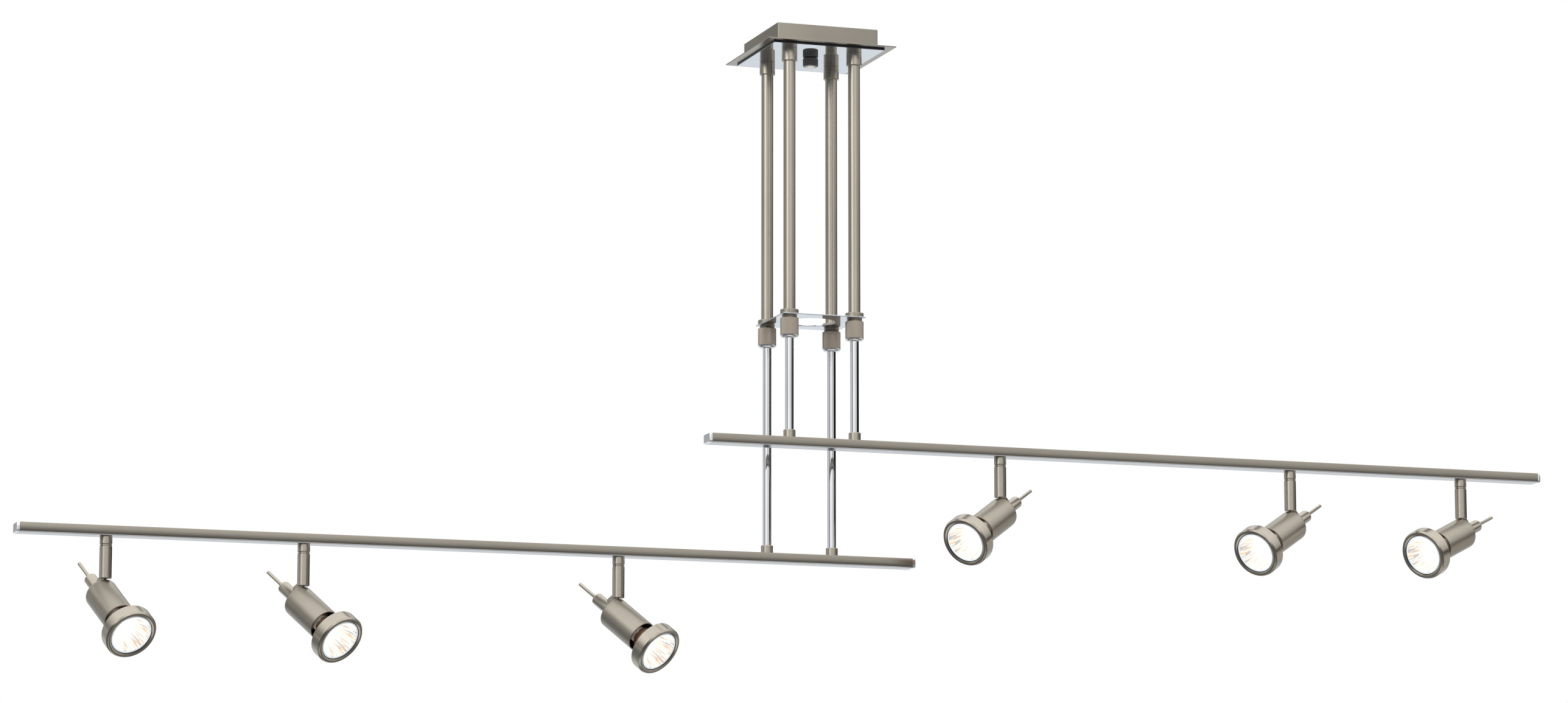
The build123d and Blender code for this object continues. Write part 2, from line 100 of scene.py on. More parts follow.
# sections that the boxes don't give, in millimetres
PAN_WALL, TUBE_WALL, ROD_WALL, RAIL_WALL = 1.2, 1.0, 1.0, 1.4
NIPPLE_R, NIPPLE_BORE_R = 6.0, 4.0
THREAD_R, THREAD_LONG, THREAD_GROOVE = 9.0, 7.0, 0.42
BUSH_BORE_R, TUBE_SEAT = 5.05, 4.3     # the tube stands this deep in a bush's flange
NUT_TAPER, NUT_FLAT_R, NUT_BORE_R, NUT_FLOOR = 3.6, 7.6, 5.25, 6.0
NUT_RIDGE, KNOB_RIDGE = 0.22, 0.3      # height of the ridges of a grip
PLATE_HOLE_R = 29.0
RAIL_DEEP, STRIP_T, CAP_T = 9.9, 1.2, 3.5
RAIL_CROWN = 0.4       # the channel's sides are drawn in by this much at their edges
COLLAR_END, COLLAR_BORE_R = 20.0, 4.9  # fixed collar's lower end, below the rail's top
SPACER_R, GROOVE_R = 6.7, 5.6          # ring and groove at the top of a swivelling stem

# a spot head, measured along its own axis from the foot of the tilt pin, forward is plus
DROP, HINGE_UP, SLOT_T, SLOT_UP, TONGUE_T, PIN_R = 21.0, 4.5, 3.9, 5.4, 3.4, 1.5
STEM_R, HANDLE_R, NECK_R, SHELL_R, SHELL_WALL = 7.0, 2.0, 7.15, 18.4, 1.3
HANDLE_BACK, NECK_BACK, SHELL_BACK, SHELL_FRONT = -55.8, -24.2, 4.0, 58.0
BEZEL_BACK, BEZEL_FRONT, BEZEL_R, BEZEL_WALL, LIP_R = 76.3, 91.3, 30.0, 1.6, 24.5
BEVEL_R, SHADE_R = 26.2, 23.8          # start of the lip's inner bevel, end of its ledge, painted black as a painted shadow gap
LAMP_R, LAMP_FRONT, LAMP_RIM = 25.0, 89.8, 3.0
LAMP_NECK_FRONT, LAMP_NECK_BACK, LAMP_PIN_BACK, LAMP_NECK_R = 57.0, 43.5, 36.5, 11.0
CUP_R, CUP_THROAT_R, BOWL_R, BOWL_THROAT_R, BOWL_WALL = 23.8, 11.5, 22.1, 6.0, 2.5
PANE_R, CAPSULE_R, FACET_DEEP = 22.3, 4.2, 0.35


# ---- sizes, finishes and studio that a user would change -----------------------------------

class TrackLightSizes(bpy.types.PropertyGroup):
    """Fineness and small details of the pieces."""
    around: IntProperty(name="Segments around", description="Faces round a turned piece",
                        default=96, min=24, max=256)
    edge: FloatProperty(name="Edge rounding", description="Radius that softens a turned edge",
                        default=0.0004, unit="LENGTH")
    thread_pitch: FloatProperty(name="Thread pitch", description="Pitch of the clamp thread",
                                default=0.0015, unit="LENGTH")
    knurl_teeth: IntProperty(name="Knurl teeth", description="Ridges round the canopy knob",
                             default=60, min=12, max=120)
    nut_teeth: IntProperty(name="Nut teeth", description="Ridges round a clamp nut",
                           default=84, min=12, max=120)
    facets: IntProperty(name="Lamp facets", description="Facets round a lamp's reflector",
                        default=36, min=12, max=72)


class TrackLightFinishes(bpy.types.PropertyGroup):
    """Colours and roughness of the finishes."""
    nickel: FloatVectorProperty(name="Nickel", description="Colour of the brushed nickel",
                                default=(0.53, 0.487, 0.412), subtype="COLOR")
    nickel_roughness: FloatProperty(name="Nickel roughness", default=0.24, subtype="FACTOR",
                                    description="Roughness between the brush lines")
    grip: FloatVectorProperty(name="Nut grip", description="Colour of the clamp nuts' ridged grip",
                              default=(0.565, 0.495, 0.42), subtype="COLOR")
    chrome: FloatVectorProperty(name="Chrome", description="Colour of the polished chrome",
                                default=(0.88, 0.9, 0.93), subtype="COLOR")
    mirror: FloatVectorProperty(name="Mirror panel", description="Tint of the canopy's mirror face",
                                default=(0.74, 0.78, 0.82), subtype="COLOR")
    # the knob's dark grey is painted dark reflection: plated metal darkened to show the dark it mirrors
    knob: FloatVectorProperty(name="Knob", description="Colour of the blackened knob",
                              default=(0.2, 0.2, 0.205), subtype="COLOR")
    dichroic: FloatVectorProperty(name="Lamp back", description="Colour of a lamp's coated back",
                                  default=(0.36, 0.17, 0.095), subtype="COLOR")
    glow: FloatVectorProperty(name="Lamp glow", description="Colour of the lit reflector",
                              default=(1.0, 0.96, 0.9), subtype="COLOR")
    amber: FloatVectorProperty(name="Lamp streaks", description="Colour of the warm streaks",
                               default=(0.82, 0.5, 0.27), subtype="COLOR")
    glow_strength: FloatProperty(name="Glow strength", description="Light given by the reflector",
                                 default=1.05)


class TrackLightStudio(bpy.types.PropertyGroup):
    """Floor, lights and camera."""
    floor: FloatVectorProperty(name="Floor", description="Colour of the plain floor",
                               default=(0.86, 0.87, 0.88), subtype="COLOR")
    floor_drop: FloatProperty(name="Floor below ceiling", description="Height of the room",
                              default=2.4, unit="LENGTH")
    key_power: FloatProperty(name="Key light", description="Power of the large soft light",
                             default=260.0, unit="POWER")
    fill_power: FloatProperty(name="Fill light", description="Power of the softer second light",
                              default=110.0, unit="POWER")
    camera_place: FloatVectorProperty(name="Camera place", description="Where the camera stands",
                                      default=(-1.9009, -5.4274, -1.3028), subtype="XYZ",
                                      unit="LENGTH")
    camera_turn: FloatVectorProperty(name="Camera turn", description="Tilt, roll and heading",
                                     default=tuple(map(math.radians, (99.16, -0.02, -18.996))),
                                     subtype="EULER")
    lens: FloatProperty(name="Lens", description="Focal length on a 36 mm wide frame",
                        default=114.6, unit="CAMERA")


# what plated pieces reflect, by bearing: 0 and 1 face -Y, 0.25 faces -X, 0.5 faces +Y, 0.75 faces +X.
# ROOM stands at the height that the tubes mirror, and LEDGE, with harder edges, at the rods'
ROOM = ((0.0, 1.35), (0.02, 1.1), (0.045, 0.75), (0.085, 0.6), (0.112, 0.95), (0.14, 2.25),
        (0.182, 2.3), (0.212, 1.25), (0.245, 0.45), (0.285, 0.26), (0.33, 0.26), (0.37, 0.3),
        (0.42, 0.34), (0.46, 0.34), (0.55, 0.25), (0.64, 0.16), (0.7, 0.22), (0.745, 0.45),
        (0.79, 0.66), (0.84, 0.78), (0.9, 0.78), (0.93, 0.74), (0.955, 0.8), (0.97, 1.0),
        (0.985, 1.4))
LEDGE = ((0.0, 0.72), (0.03, 0.85), (0.12, 1.0), (0.175, 0.95), (0.195, 0.2), (0.24, 0.2),
         (0.262, 0.62), (0.3, 0.66), (0.36, 0.55), (0.43, 0.45), (0.56, 0.2), (0.66, 0.03),
         (0.74, 0.0), (0.86, 0.02), (0.89, 0.12), (0.915, 0.7), (0.955, 0.85), (0.975, 0.6),
         (0.988, 0.5))
UNDER = ((0.0, (0.1, 0.1, 0.11)), (0.2, (0.13, 0.13, 0.14)), (0.36, (0.25, 0.26, 0.28)),
         (0.44, (0.74, 0.77, 0.8)), (0.6, (0.8, 0.83, 0.86)), (0.67, (0.5, 0.5, 0.5)),
         (0.79, (0.62, 0.6, 0.58)), (0.9, (0.2, 0.2, 0.2)), (1.0, (0.1, 0.1, 0.11)))


# ---- surfaces ------------------------------------------------------------------------------

class Skin:
    """A closed surface on a grid of points, in millimetres, with UVs in millimetres: x runs with
    the brush lines and y runs across them.

    Row i and column j of the grid are joined to their neighbours by four-cornered faces. Rows or
    columns that loop are joined last to first, and ends that stay open are filled. finish gives
    the number of a row's material slot.
    """

    def __init__(self, grid, along, across, loop_rows=False, loop_cols=True, finish=0):
        rows, cols = grid.shape[:2]
        i = np.arange(rows if loop_rows else rows - 1)[:, None]
        j = np.arange(cols if loop_cols else cols - 1)[None, :]
        at = lambda r, c: (r % rows) * cols + c % cols
        quads = np.stack((at(i, j), at(i + 1, j), at(i + 1, j + 1), at(i, j + 1)), -1)
        uv = np.stack([np.stack(np.broadcast_arrays(along[j + b], across[i + a]), -1)
                       for a, b in ((0, 0), (1, 0), (1, 1), (0, 1))], -2)
        self.points = grid.reshape(-1, 3)
        self.quads, self.uv = quads.reshape(-1, 4), uv.reshape(-1, 4, 2)
        slots = np.broadcast_to(np.asarray(finish).reshape(-1, 1), quads.shape[:2])
        self.slots = slots.reshape(-1).copy()
        self.ends = [] if loop_rows else [np.arange(cols), (rows - 1) * cols + np.arange(cols)[::-1]]
        p = self.points[self.quads] - self.points.mean(0)
        volume = np.einsum("ij,ij->", p[:, 0], np.cross(p[:, 1], p[:, 2]) + np.cross(p[:, 2], p[:, 3]))
        for end in self.ends:
            q = self.points[end] - self.points.mean(0)
            volume += np.einsum("ij,ij->", np.broadcast_to(q.mean(0), q.shape),
                                np.cross(q, np.roll(q, -1, 0)))
        if volume < 0:
            self.quads, self.uv = self.quads[:, ::-1], self.uv[:, ::-1]
            self.ends = [end[::-1] for end in self.ends]


class Seat:
    """Where a turned or stacked piece sits: its origin, its axis and the direction of its turn 0."""

    def __init__(self, origin, axis, start):
        self.origin, self.axis, self.start = (np.asarray(v, float) for v in (origin, axis, start))
        self.side = np.cross(self.axis, self.start)

    def turned_by(self, degrees):
        """The same seat with its turn 0 moved round the axis."""
        a = math.radians(degrees)
        return Seat(self.origin, self.axis, math.cos(a) * self.start + math.sin(a) * self.side)


def upright(place):
    """Seat on a vertical axis through a place, with heights counted from the ceiling."""
    return Seat((place[0], place[1], 0.0), UP, EAST)


def eased(points, radius=0.4, closed=False, steps=4):
    """Outline through the points with each corner replaced by an arc that touches both of its runs.

    The arc's radius is given for all corners or for each, and is cut to what the shorter run
    allows. A point close to each end of the arc keeps the straight run flat in shading.
    """
    p = np.asarray(points, float)
    n = len(p)
    radii = np.broadcast_to(np.asarray(radius, float), (n,))
    out = [] if closed else [p[:1]]
    for k in range(n) if closed else range(1, n - 1):
        before, here, after = p[k - 1], p[k], p[(k + 1) % n]
        run_in, run_out = np.linalg.norm(here - before), np.linalg.norm(after - here)
        a, b = (here - before) / run_in, (after - here) / run_out
        turn = math.atan2(a[0] * b[1] - a[1] * b[0], a @ b)
        cut = min(max(radii[k], 0.02) * abs(math.tan(turn / 2)), 0.42 * min(run_in, run_out))
        if abs(turn) < 1e-3:
            out.append(here[None])
            continue
        r = cut / abs(math.tan(turn / 2))
        left = np.array((-a[1], a[0])) * math.copysign(1.0, turn)
        centre = here - a * cut + left * r
        t = np.linspace(0, turn, steps + 1)
        spoke = -left * r
        arc = centre + np.stack((np.cos(t) * spoke[0] - np.sin(t) * spoke[1],
                                 np.sin(t) * spoke[0] + np.cos(t) * spoke[1]), -1)
        near = min(0.15, 0.05 * min(run_in, run_out))
        out += [(arc[0] - a * near)[None], arc, (arc[-1] + b * near)[None]]
    if not closed:
        out.append(p[-1:])
    return np.concatenate(out)


def run_length(outline, closed=False):
    """Distance along an outline at each of its points, and at its start again if it is closed."""
    p = np.concatenate((outline, outline[:1])) if closed else outline
    return np.concatenate(((0.0,), np.cumsum(np.linalg.norm(np.diff(p, axis=0), axis=1))))


def turned(outline, seat, around, closed=False, ripple=None, finish=0):
    """Surface of revolution: at turn t an outline point (along, radius) stands at the origin plus
    along times the axis plus radius times (cos t, sin t) in the plane across the axis. ripple, a
    function of along and turn, is added to the radius.
    """
    t = np.arange(around) * 2 * math.pi / around
    along, radius = outline[:, :1], outline[:, 1:]
    r = radius + (ripple(along, t[None]) * (radius > 0.5) if ripple else 0 * t[None])
    spokes = np.cos(t)[:, None] * seat.start + np.sin(t)[:, None] * seat.side
    grid = seat.origin + along[..., None] * seat.axis + r[..., None] * spokes
    reach = np.append(t, 2 * math.pi) * radius.max()
    return Skin(grid, reach, run_length(outline, closed), closed, True, finish)


def lengthwise(skin):
    """The same skin with its brush lines across, which on a turned piece is along its axis."""
    skin.uv = skin.uv[..., ::-1]
    return skin


def stacked(half_u, half_v, corner, profile, seat, finish=0, steps=5):
    """Rounded rectangles stacked on a seat: at each profile point (inset, along) the rectangle's
    sides and corner radius are drawn in by the inset. An inset of half a side closes the piece.
    """
    profile = np.asarray(profile, float)
    inset = profile[:, :1]
    t = np.concatenate([q * math.pi / 2 + np.linspace(0, math.pi / 2, steps + 1) for q in range(4)])
    sign_u = np.repeat((1, -1, -1, 1), steps + 1)
    sign_v = np.repeat((1, 1, -1, -1), steps + 1)
    r = np.maximum(corner - inset, 0.0)
    u = sign_u * (np.maximum(half_u - inset, 0) - np.minimum(r, half_u)) + r * np.cos(t)
    v = sign_v * (np.maximum(half_v - inset, 0) - np.minimum(r, half_v)) + r * np.sin(t)
    grid = (seat.origin + u[..., None] * seat.start + v[..., None] * seat.side
            + profile[:, 1:, None] * seat.axis)
    ring = run_length(np.stack((u[np.argmin(inset)], v[np.argmin(inset)]), -1), True)
    return Skin(grid, ring, run_length(profile), False, True, finish)


def plate(half_u, half_v, corner, low, high, seat, edge=0.3, finish=0):
    """A flat rounded-rectangle plate between two heights, its edges softened."""
    deep = min(half_u, half_v)
    profile = eased(((deep, low), (0, low), (0, high), (deep, high)), edge)
    return stacked(half_u, half_v, corner, profile, seat, finish)


def drawn(outline, start, end, seat, finish=0):
    """A closed outline (u, v) drawn straight along the seat's axis, with flat ends."""
    along = np.array((start, start + 0.2, end - 0.2, end))
    flat = outline[:, :1] * seat.start + outline[:, 1:] * seat.side
    grid = seat.origin + along[:, None, None] * seat.axis + flat[None]
    return lengthwise(Skin(grid, run_length(outline, True), along, False, True, finish))


def cut_plate(outline, thick, seat, edge=0.25):
    """A flat plate of a closed outline, centred on the seat's plane: near each face the outline
    is drawn in along its own normals by the edge's rounding.
    """
    ahead, behind = np.roll(outline, -1, 0), np.roll(outline, 1, 0)
    run = ahead - behind
    normal = np.stack((run[:, 1], -run[:, 0]), -1) / np.linalg.norm(run, axis=1)[:, None]
    spin = np.sum(outline[:, 0] * ahead[:, 1] - outline[:, 1] * ahead[:, 0])
    t = np.linspace(0, math.pi / 2, 4)
    draw = np.concatenate(((edge + 0.1,), edge * (1 - np.sin(t)), edge * (1 - np.cos(t)),
                           (edge + 0.1,)))
    place = np.concatenate(((-thick / 2,), -thick / 2 + edge * (1 - np.cos(t)),
                            thick / 2 - edge * (1 - np.sin(t)), (thick / 2,)))
    rim = outline - math.copysign(1, spin) * normal * draw[:, None, None]
    grid = (seat.origin + rim[..., :1] * seat.start + rim[..., 1:] * seat.side
            + place[:, None, None] * seat.axis)
    return Skin(grid, run_length(outline, True), place, False, True)


def pierced(half, corner, hole, low, high, seat, steps=28):
    """A square plate with a round hole, edges softened: each ring lies between the square's
    outline and the circle at the same bearing, from the lower edge round to the upper one.
    """
    side = np.linspace(-1, 1, steps, endpoint=False) * (half - corner)
    arc = np.linspace(0, math.pi / 2, 6)[:-1]
    edge_u = np.concatenate((np.full(steps, half), half - corner + corner * np.cos(arc)))
    edge_v = np.concatenate((side, half - corner + corner * np.sin(arc)))
    turns = [(edge_u, edge_v), (-edge_v, edge_u), (-edge_u, -edge_v), (edge_v, -edge_u)]
    square = np.stack([np.concatenate(c) for c in zip(*turns)], -1)
    bearing = square / np.linalg.norm(square, axis=1)[:, None]
    mix = np.array((0.0, 0.004, 0.5, 0.996, 1.0))
    soft = 0.25
    rings = []
    for m, z in [(0, low + soft), *((m, low) for m in mix[1:-1]), (1, low + soft),
                 (1, high - soft), *((m, high) for m in mix[-2:0:-1]), (0, high - soft)]:
        flat = (1 - m) * square + m * hole * bearing
        rings.append(seat.origin + flat[:, :1] * seat.start + flat[:, 1:] * seat.side + z * seat.axis)
    grid = np.stack(rings)
    return Skin(grid, run_length(square, True), np.arange(len(rings) + 1) * 5.0, True, True)


def put(name, skins, finishes, body, stands_for=()):
    """Puts skins into one mesh in metres, welds its seams and poles, shades it smooth, and hangs
    it on a body in place of its CAD nodes."""
    points, faces, uvs, slots, base = [], [], [], [], 0
    for skin in skins:
        points.append(skin.points)
        faces += (skin.quads + base).tolist()
        uvs.append(skin.uv.reshape(-1, 2))
        slots.append(skin.slots)
        for end, ring_slot in zip(skin.ends, (skin.slots[0], skin.slots[-1])):
            flat = skin.points[end]
            span = flat - flat.mean(0)
            axes = np.linalg.svd(span, full_matrices=False)[2][:2]
            faces.append((end + base).tolist())
            uvs.append(span @ axes.T)
            slots.append(np.array([ring_slot]))
        base += len(skin.points)
    mesh = bpy.data.meshes.new(name)
    mesh.from_pydata(np.concatenate(points) * MM, [], faces)
    layer = mesh.uv_layers.new(name="Brush")
    layer.data.foreach_set("uv", np.concatenate(uvs).astype(np.float32).ravel())
    for finish in finishes:
        mesh.materials.append(finish)
    mesh.polygons.foreach_set("material_index", np.concatenate(slots).astype(np.int32))
    weld = bmesh.new()
    weld.from_mesh(mesh)
    bmesh.ops.remove_doubles(weld, verts=weld.verts, dist=2e-6)
    bmesh.ops.dissolve_degenerate(weld, edges=weld.edges, dist=1e-7)
    weld.to_mesh(mesh)
    weld.free()
    mesh.shade_smooth()
    mesh.set_sharp_from_angle(angle=math.radians(SHARP))
    piece = bpy.data.objects.new(name, mesh)
    bpy.context.scene.collection.objects.link(piece)
    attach(piece, body)
    if stands_for:
        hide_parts(*stands_for)
    return piece


def limits(node):
    """Lowest and highest corner of a CAD node, in millimetres."""
    low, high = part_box(node)
    return np.array(low) / MM, np.array(high) / MM


# ---- materials -----------------------------------------------------------------------------

class Wire:
    """A number on its way through a material; arithmetic on it adds Math nodes."""

    def __init__(self, paint, socket):
        self.paint, self.socket = paint, socket

    def __add__(self, other):
        return self.paint.sum("ADD", self, other)

    def __mul__(self, other):
        return self.paint.sum("MULTIPLY", self, other)

    def __sub__(self, other):
        return self.paint.sum("SUBTRACT", self, other)

    def __rsub__(self, other):
        return self.paint.sum("SUBTRACT", other, self)

    __radd__, __rmul__ = __add__, __mul__


class Paint:
    """A material, or the world, under construction."""

    def __init__(self, tree):
        self.tree = tree
        tree.nodes.clear()

    def add(self, kind, settings=None, **sockets):
        """Adds a node of a type, sets it up, then fills its sockets with values or links. A
        socket's name has _ for a space, and i0, i1 ... go by number."""
        node = self.tree.nodes.new(kind)
        for key, value in (settings or {}).items():
            if key == "stops":
                ramp = node.color_ramp
                for k, (place, colour) in enumerate(value):
                    stop = ramp.elements[k] if k < 2 else ramp.elements.new(place)
                    stop.position = place
                    stop.color = (*colour, 1.0)
            else:
                setattr(node, key, value)
        for key, value in sockets.items():
            number = key[1:]
            target = node.inputs[int(number) if key[0] == "i" and number.isdigit()
                                 else key.replace("_", " ")]
            value = value.socket if isinstance(value, Wire) else value
            if isinstance(value, bpy.types.NodeSocket):
                self.tree.links.new(value, target)
            else:
                target.default_value = value
        return node

    def sum(self, operation, *terms, clamp=False):
        """A Math node on numbers and wires."""
        node = self.add("ShaderNodeMath", {"operation": operation, "use_clamp": clamp},
                        **{f"i{k}": term for k, term in enumerate(terms)})
        return Wire(self, node.outputs[0])

    def stretch(self, socket, size):
        """A place with each of its axes multiplied."""
        return self.add("ShaderNodeVectorMath", {"operation": "MULTIPLY"}, i0=socket,
                        i1=size).outputs[0]

    def noise(self, place, scale, detail=3.0, roughness=0.55):
        """Noise between 0 and 1 at a place."""
        node = self.add("ShaderNodeTexNoise", Vector=place, Scale=scale, Detail=detail,
                        Roughness=roughness)
        return Wire(self, node.outputs["Fac"])

    def ramp(self, value, *stops):
        """Colour along a run of (place, colour) stops."""
        return self.add("ShaderNodeValToRGB", {"stops": stops}, Fac=value).outputs["Color"]

    def blend(self, factor, first, second):
        """Colour that goes from the first to the second as the factor goes from 0 to 1."""
        node = self.add("ShaderNodeMix", {"data_type": "RGBA"}, i0=factor, i6=first, i7=second)
        return node.outputs[2]

    def bump(self, height, strength, distance=0.0002):
        """A Bump node's normal."""
        return self.add("ShaderNodeBump", Height=height, Strength=strength,
                        Distance=distance).outputs["Normal"]

    def close(self, **sockets):
        """Ends the material in a Principled shader."""
        shader = self.add("ShaderNodeBsdfPrincipled", **sockets)
        self.add("ShaderNodeOutputMaterial", Surface=shader.outputs[0])


def material(name):
    """A new material's paint, and the material."""
    made = bpy.data.materials.new(name)
    made.use_nodes = True
    return made, Paint(made.node_tree)


def tone(colour, by):
    """A colour made lighter or darker."""
    return (*(min(c * by, 1.0) for c in colour), 1.0)


def brushed(name, colour, roughness, depth=0.35, level=False):
    """Plated metal brushed along the UV's x, or for a level CAD plate along the world's x: fine
    lines and broader bands change its tone, its roughness and its relief."""
    made, paint = material(name)
    if level:
        solid = paint.add("ShaderNodeTexCoord").outputs["Object"]
        place = paint.stretch(solid, (1 / MM, 1 / MM, 0.0))
    else:
        place = paint.add("ShaderNodeUVMap", {"uv_map": "Brush"}).outputs[0]
    lines = paint.noise(paint.stretch(place, (0.012, 2.4, 1.0)), 1.0, 4.0, 0.6)
    bands = paint.noise(paint.stretch(place, (0.006, 0.07, 1.0)), 1.0, 3.0)
    solid = paint.add("ShaderNodeTexCoord").outputs["Object"]
    clouds = paint.noise(solid, 14.0, 1.0)
    worn = lines * 0.3 + bands * 0.3 + clouds * 0.4
    relief = lines * 0.6 + bands * 0.1
    tint = paint.ramp(worn, (0.3, tone(colour, 0.9)[:3]), (0.5, colour), (0.7, tone(colour, 1.07)[:3]))
    paint.close(Base_Color=tint, Metallic=1.0, Roughness=worn * 0.1 + (roughness - 0.05),
                Normal=paint.bump(relief, depth * 0.06, 0.00002))
    return made


def polished(name, colour, roughness=0.05):
    """Polished plate with faint wiping marks in its gloss and a slight wave in its surface."""
    made, paint = material(name)
    solid = paint.add("ShaderNodeTexCoord").outputs["Object"]
    smear = paint.noise(paint.stretch(solid, (1.0, 1.0, 0.35)), 60.0, 5.0, 0.6)
    wave = paint.noise(solid, 16.0, 2.0)
    tint = paint.ramp(smear, (0.3, tone(colour, 0.95)[:3]), (0.7, tone(colour, 1.03)[:3]))
    paint.close(Base_Color=tint, Metallic=1.0, Roughness=smear * 0.05 + (roughness - 0.02),
                Normal=paint.bump(wave, 0.02, 0.0003))
    return made


def moulded(name, colour, roughness, sheen=0.0, metal=0.0, grain=900.0):
    """Moulded plastic, ceramic, nylon or paint: a fine grain, soft clouding and dust tone."""
    made, paint = material(name)
    solid = paint.add("ShaderNodeTexCoord").outputs["Object"]
    fine = paint.noise(solid, grain, 3.0)
    clouds = paint.noise(solid, 40.0, 4.0)
    mixed = fine * 0.35 + clouds * 0.65
    tint = paint.ramp(mixed, (0.3, tone(colour, 0.82)[:3]), (0.7, tone(colour, 1.15)[:3]))
    paint.close(Base_Color=tint, Metallic=metal, Roughness=mixed * 0.14 + (roughness - 0.07),
                Normal=paint.bump(fine, 0.25, 0.0002), Coat_Weight=sheen, Coat_Roughness=0.12)
    return made


def coated_back(name, colour):
    """A lamp's coated glass back: copper that drifts to plum and bronze with the coat's depth,
    over shallow ribs that run from neck to rim."""
    made, paint = material(name)
    place = paint.add("ShaderNodeUVMap", {"uv_map": "Brush"}).outputs[0]
    solid = paint.add("ShaderNodeTexCoord").outputs["Object"]
    ribs = paint.add("ShaderNodeTexWave", {"wave_type": "BANDS", "bands_direction": "X"},
                     Vector=place, Scale=0.1, Distortion=0.4)
    drift = paint.noise(solid, 38.0, 3.0)
    tint = paint.ramp(drift, (0.25, tone(colour, 0.35)[:3]), (0.48, colour),
                      (0.62, (0.62, 0.42, 0.3)), (0.78, (0.2, 0.11, 0.12)))
    paint.close(Base_Color=tint, Metallic=0.85, Roughness=drift * 0.12 + 0.12, Coat_Weight=0.6,
                Coat_Roughness=0.04, Normal=paint.bump(Wire(paint, ribs.outputs["Fac"]), 0.4, 0.0004))
    return made


def lit_reflector(name, glow, amber, strength):
    """The lit inside of a lamp. UV x is the turn round it and y goes from 0 at the burner to 1 at
    the rim. Noise on a cylinder of that turn, stretched along y, gives radial streaks, grey and
    amber, that stand in sheaves and fade towards the burner."""
    made, paint = material(name)
    place = paint.add("ShaderNodeUVMap", {"uv_map": "Brush"}).outputs[0]
    axes = paint.add("ShaderNodeSeparateXYZ", Vector=place)
    turn, out = (Wire(paint, axes.outputs[k]) for k in ("X", "Y"))
    ring = paint.add("ShaderNodeCombineXYZ", X=paint.sum("COSINE", turn),
                     Y=paint.sum("SINE", turn), Z=out).outputs[0]
    thin = paint.noise(paint.stretch(ring, (11.0, 11.0, 2.2)), 1.0, 3.0, 0.6)
    sheaf = paint.noise(paint.stretch(ring, (1.3, 1.3, 1.0)), 1.0, 1.0, 0.4)
    kind = paint.noise(paint.stretch(ring, (3.2, 3.2, 1.5)), 1.0, 1.0, 0.4)
    outward = paint.sum("MULTIPLY", out - 0.32, 2.2, clamp=True)
    streak = paint.sum("MULTIPLY", paint.sum("MULTIPLY", thin - 0.46, 7.0, clamp=True),
                       outward * (sheaf * 3.4 - 0.75), clamp=True)
    warm = paint.sum("MULTIPLY", kind - 0.4, 5.0, clamp=True)
    line = paint.blend(warm, (0.47, 0.47, 0.48, 1), (*amber, 1))
    tint = paint.blend(streak, (*glow, 1), line)
    paint.close(Base_Color=(0.05, 0.05, 0.05, 1), Roughness=0.3, Emission_Color=tint,
                Emission_Strength=strength, Normal=paint.bump(thin, 0.3, 0.0004))
    return made


def clear_glass(name):
    """The lamp's front glass: clear, with a faint dust that dulls its gloss."""
    made, paint = material(name)
    solid = paint.add("ShaderNodeTexCoord").outputs["Object"]
    dust = paint.noise(solid, 140.0, 4.0)
    paint.close(Base_Color=(1.0, 0.99, 0.97, 1), Transmission_Weight=1.0, IOR=1.12,
                Roughness=dust * 0.05 + 0.01)
    return made


def glowing(name, colour, strength):
    """The burner capsule: quartz so bright that only its colour shows, in patches that drift from the
    glow's colour to white.
    """
    made, paint = material(name)
    solid = paint.add("ShaderNodeTexCoord").outputs["Object"]
    flicker = paint.noise(solid, 90.0, 1.0)
    tint = paint.ramp(flicker, (0.3, colour), (0.7, (1.0, 1.0, 1.0)))
    paint.close(Base_Color=tint, Roughness=0.2, Emission_Color=tint, Emission_Strength=strength)
    return made


FINISH = {}


def mix_finishes(f):
    """Makes every finish of the fixture from the user's colours."""
    FINISH.update(
        nickel=brushed("brushed_nickel", tuple(f.nickel), f.nickel_roughness),
        sheet=brushed("brushed_sheet", tone(f.nickel, 0.74)[:3], f.nickel_roughness + 0.02),
        satin=brushed("satin_nickel", tone(f.nickel, 0.86)[:3], f.nickel_roughness + 0.13, 0.6),
        knurled=brushed("knurled_nickel", tuple(f.grip), f.nickel_roughness + 0.2, 2.0),
        thread=polished("turned_thread", tone(f.nickel, 0.62)[:3], 0.14),
        bright=polished("bright_nickel", tone(f.nickel, 1.45)[:3], 0.1),
        chrome=polished("polished_chrome", tuple(f.chrome), 0.035),
        mirror=polished("mirror_face", tuple(f.mirror), 0.035),
        strip=polished("satin_strip", (0.55, 0.555, 0.56), 0.16),
        # near black for the mirror panel's edge: painted dark reflection, not a darker metal
        dark_edge=moulded("painted_dark_reflection_edge", (0.035, 0.035, 0.04), 0.35, metal=0.6),
        # knob: metal painted dark grey for the dark reflection it shows
        knob=moulded("knurl_painted_dark", tuple(f.knob), 0.36, metal=0.9),
        zinc=brushed("zinc_plate", (0.62, 0.63, 0.64), 0.38, 0.5, level=True),
        steel=polished("plated_screw_steel", (0.6, 0.6, 0.58), 0.22),
        plastic=moulded("black_block", (0.03, 0.03, 0.032), 0.5),
        nylon=moulded("natural_nylon", (0.78, 0.76, 0.7), 0.5),
        ceramic=moulded("glazed_ceramic", (0.72, 0.68, 0.6), 0.38, sheen=0.5),
        # black: the shell's real lining, and a painted shadow gap inside each bezel's lip
        black=moulded("black_lining_and_painted_shadow_gap", (0.012, 0.011, 0.011), 0.6),
        coated=coated_back("coated_lamp_back", tuple(f.dichroic)),
        lit=lit_reflector("lit_reflector", tuple(f.glow), tuple(f.amber), f.glow_strength),
        glass=clear_glass("front_glass"),
        rim=moulded("glass_rim", (0.5, 0.54, 0.58), 0.2, sheen=0.8),
        burner=glowing("burner_capsule", tuple(f.glow), 3.0),
    )


# ---- operators -----------------------------------------------------------------------------

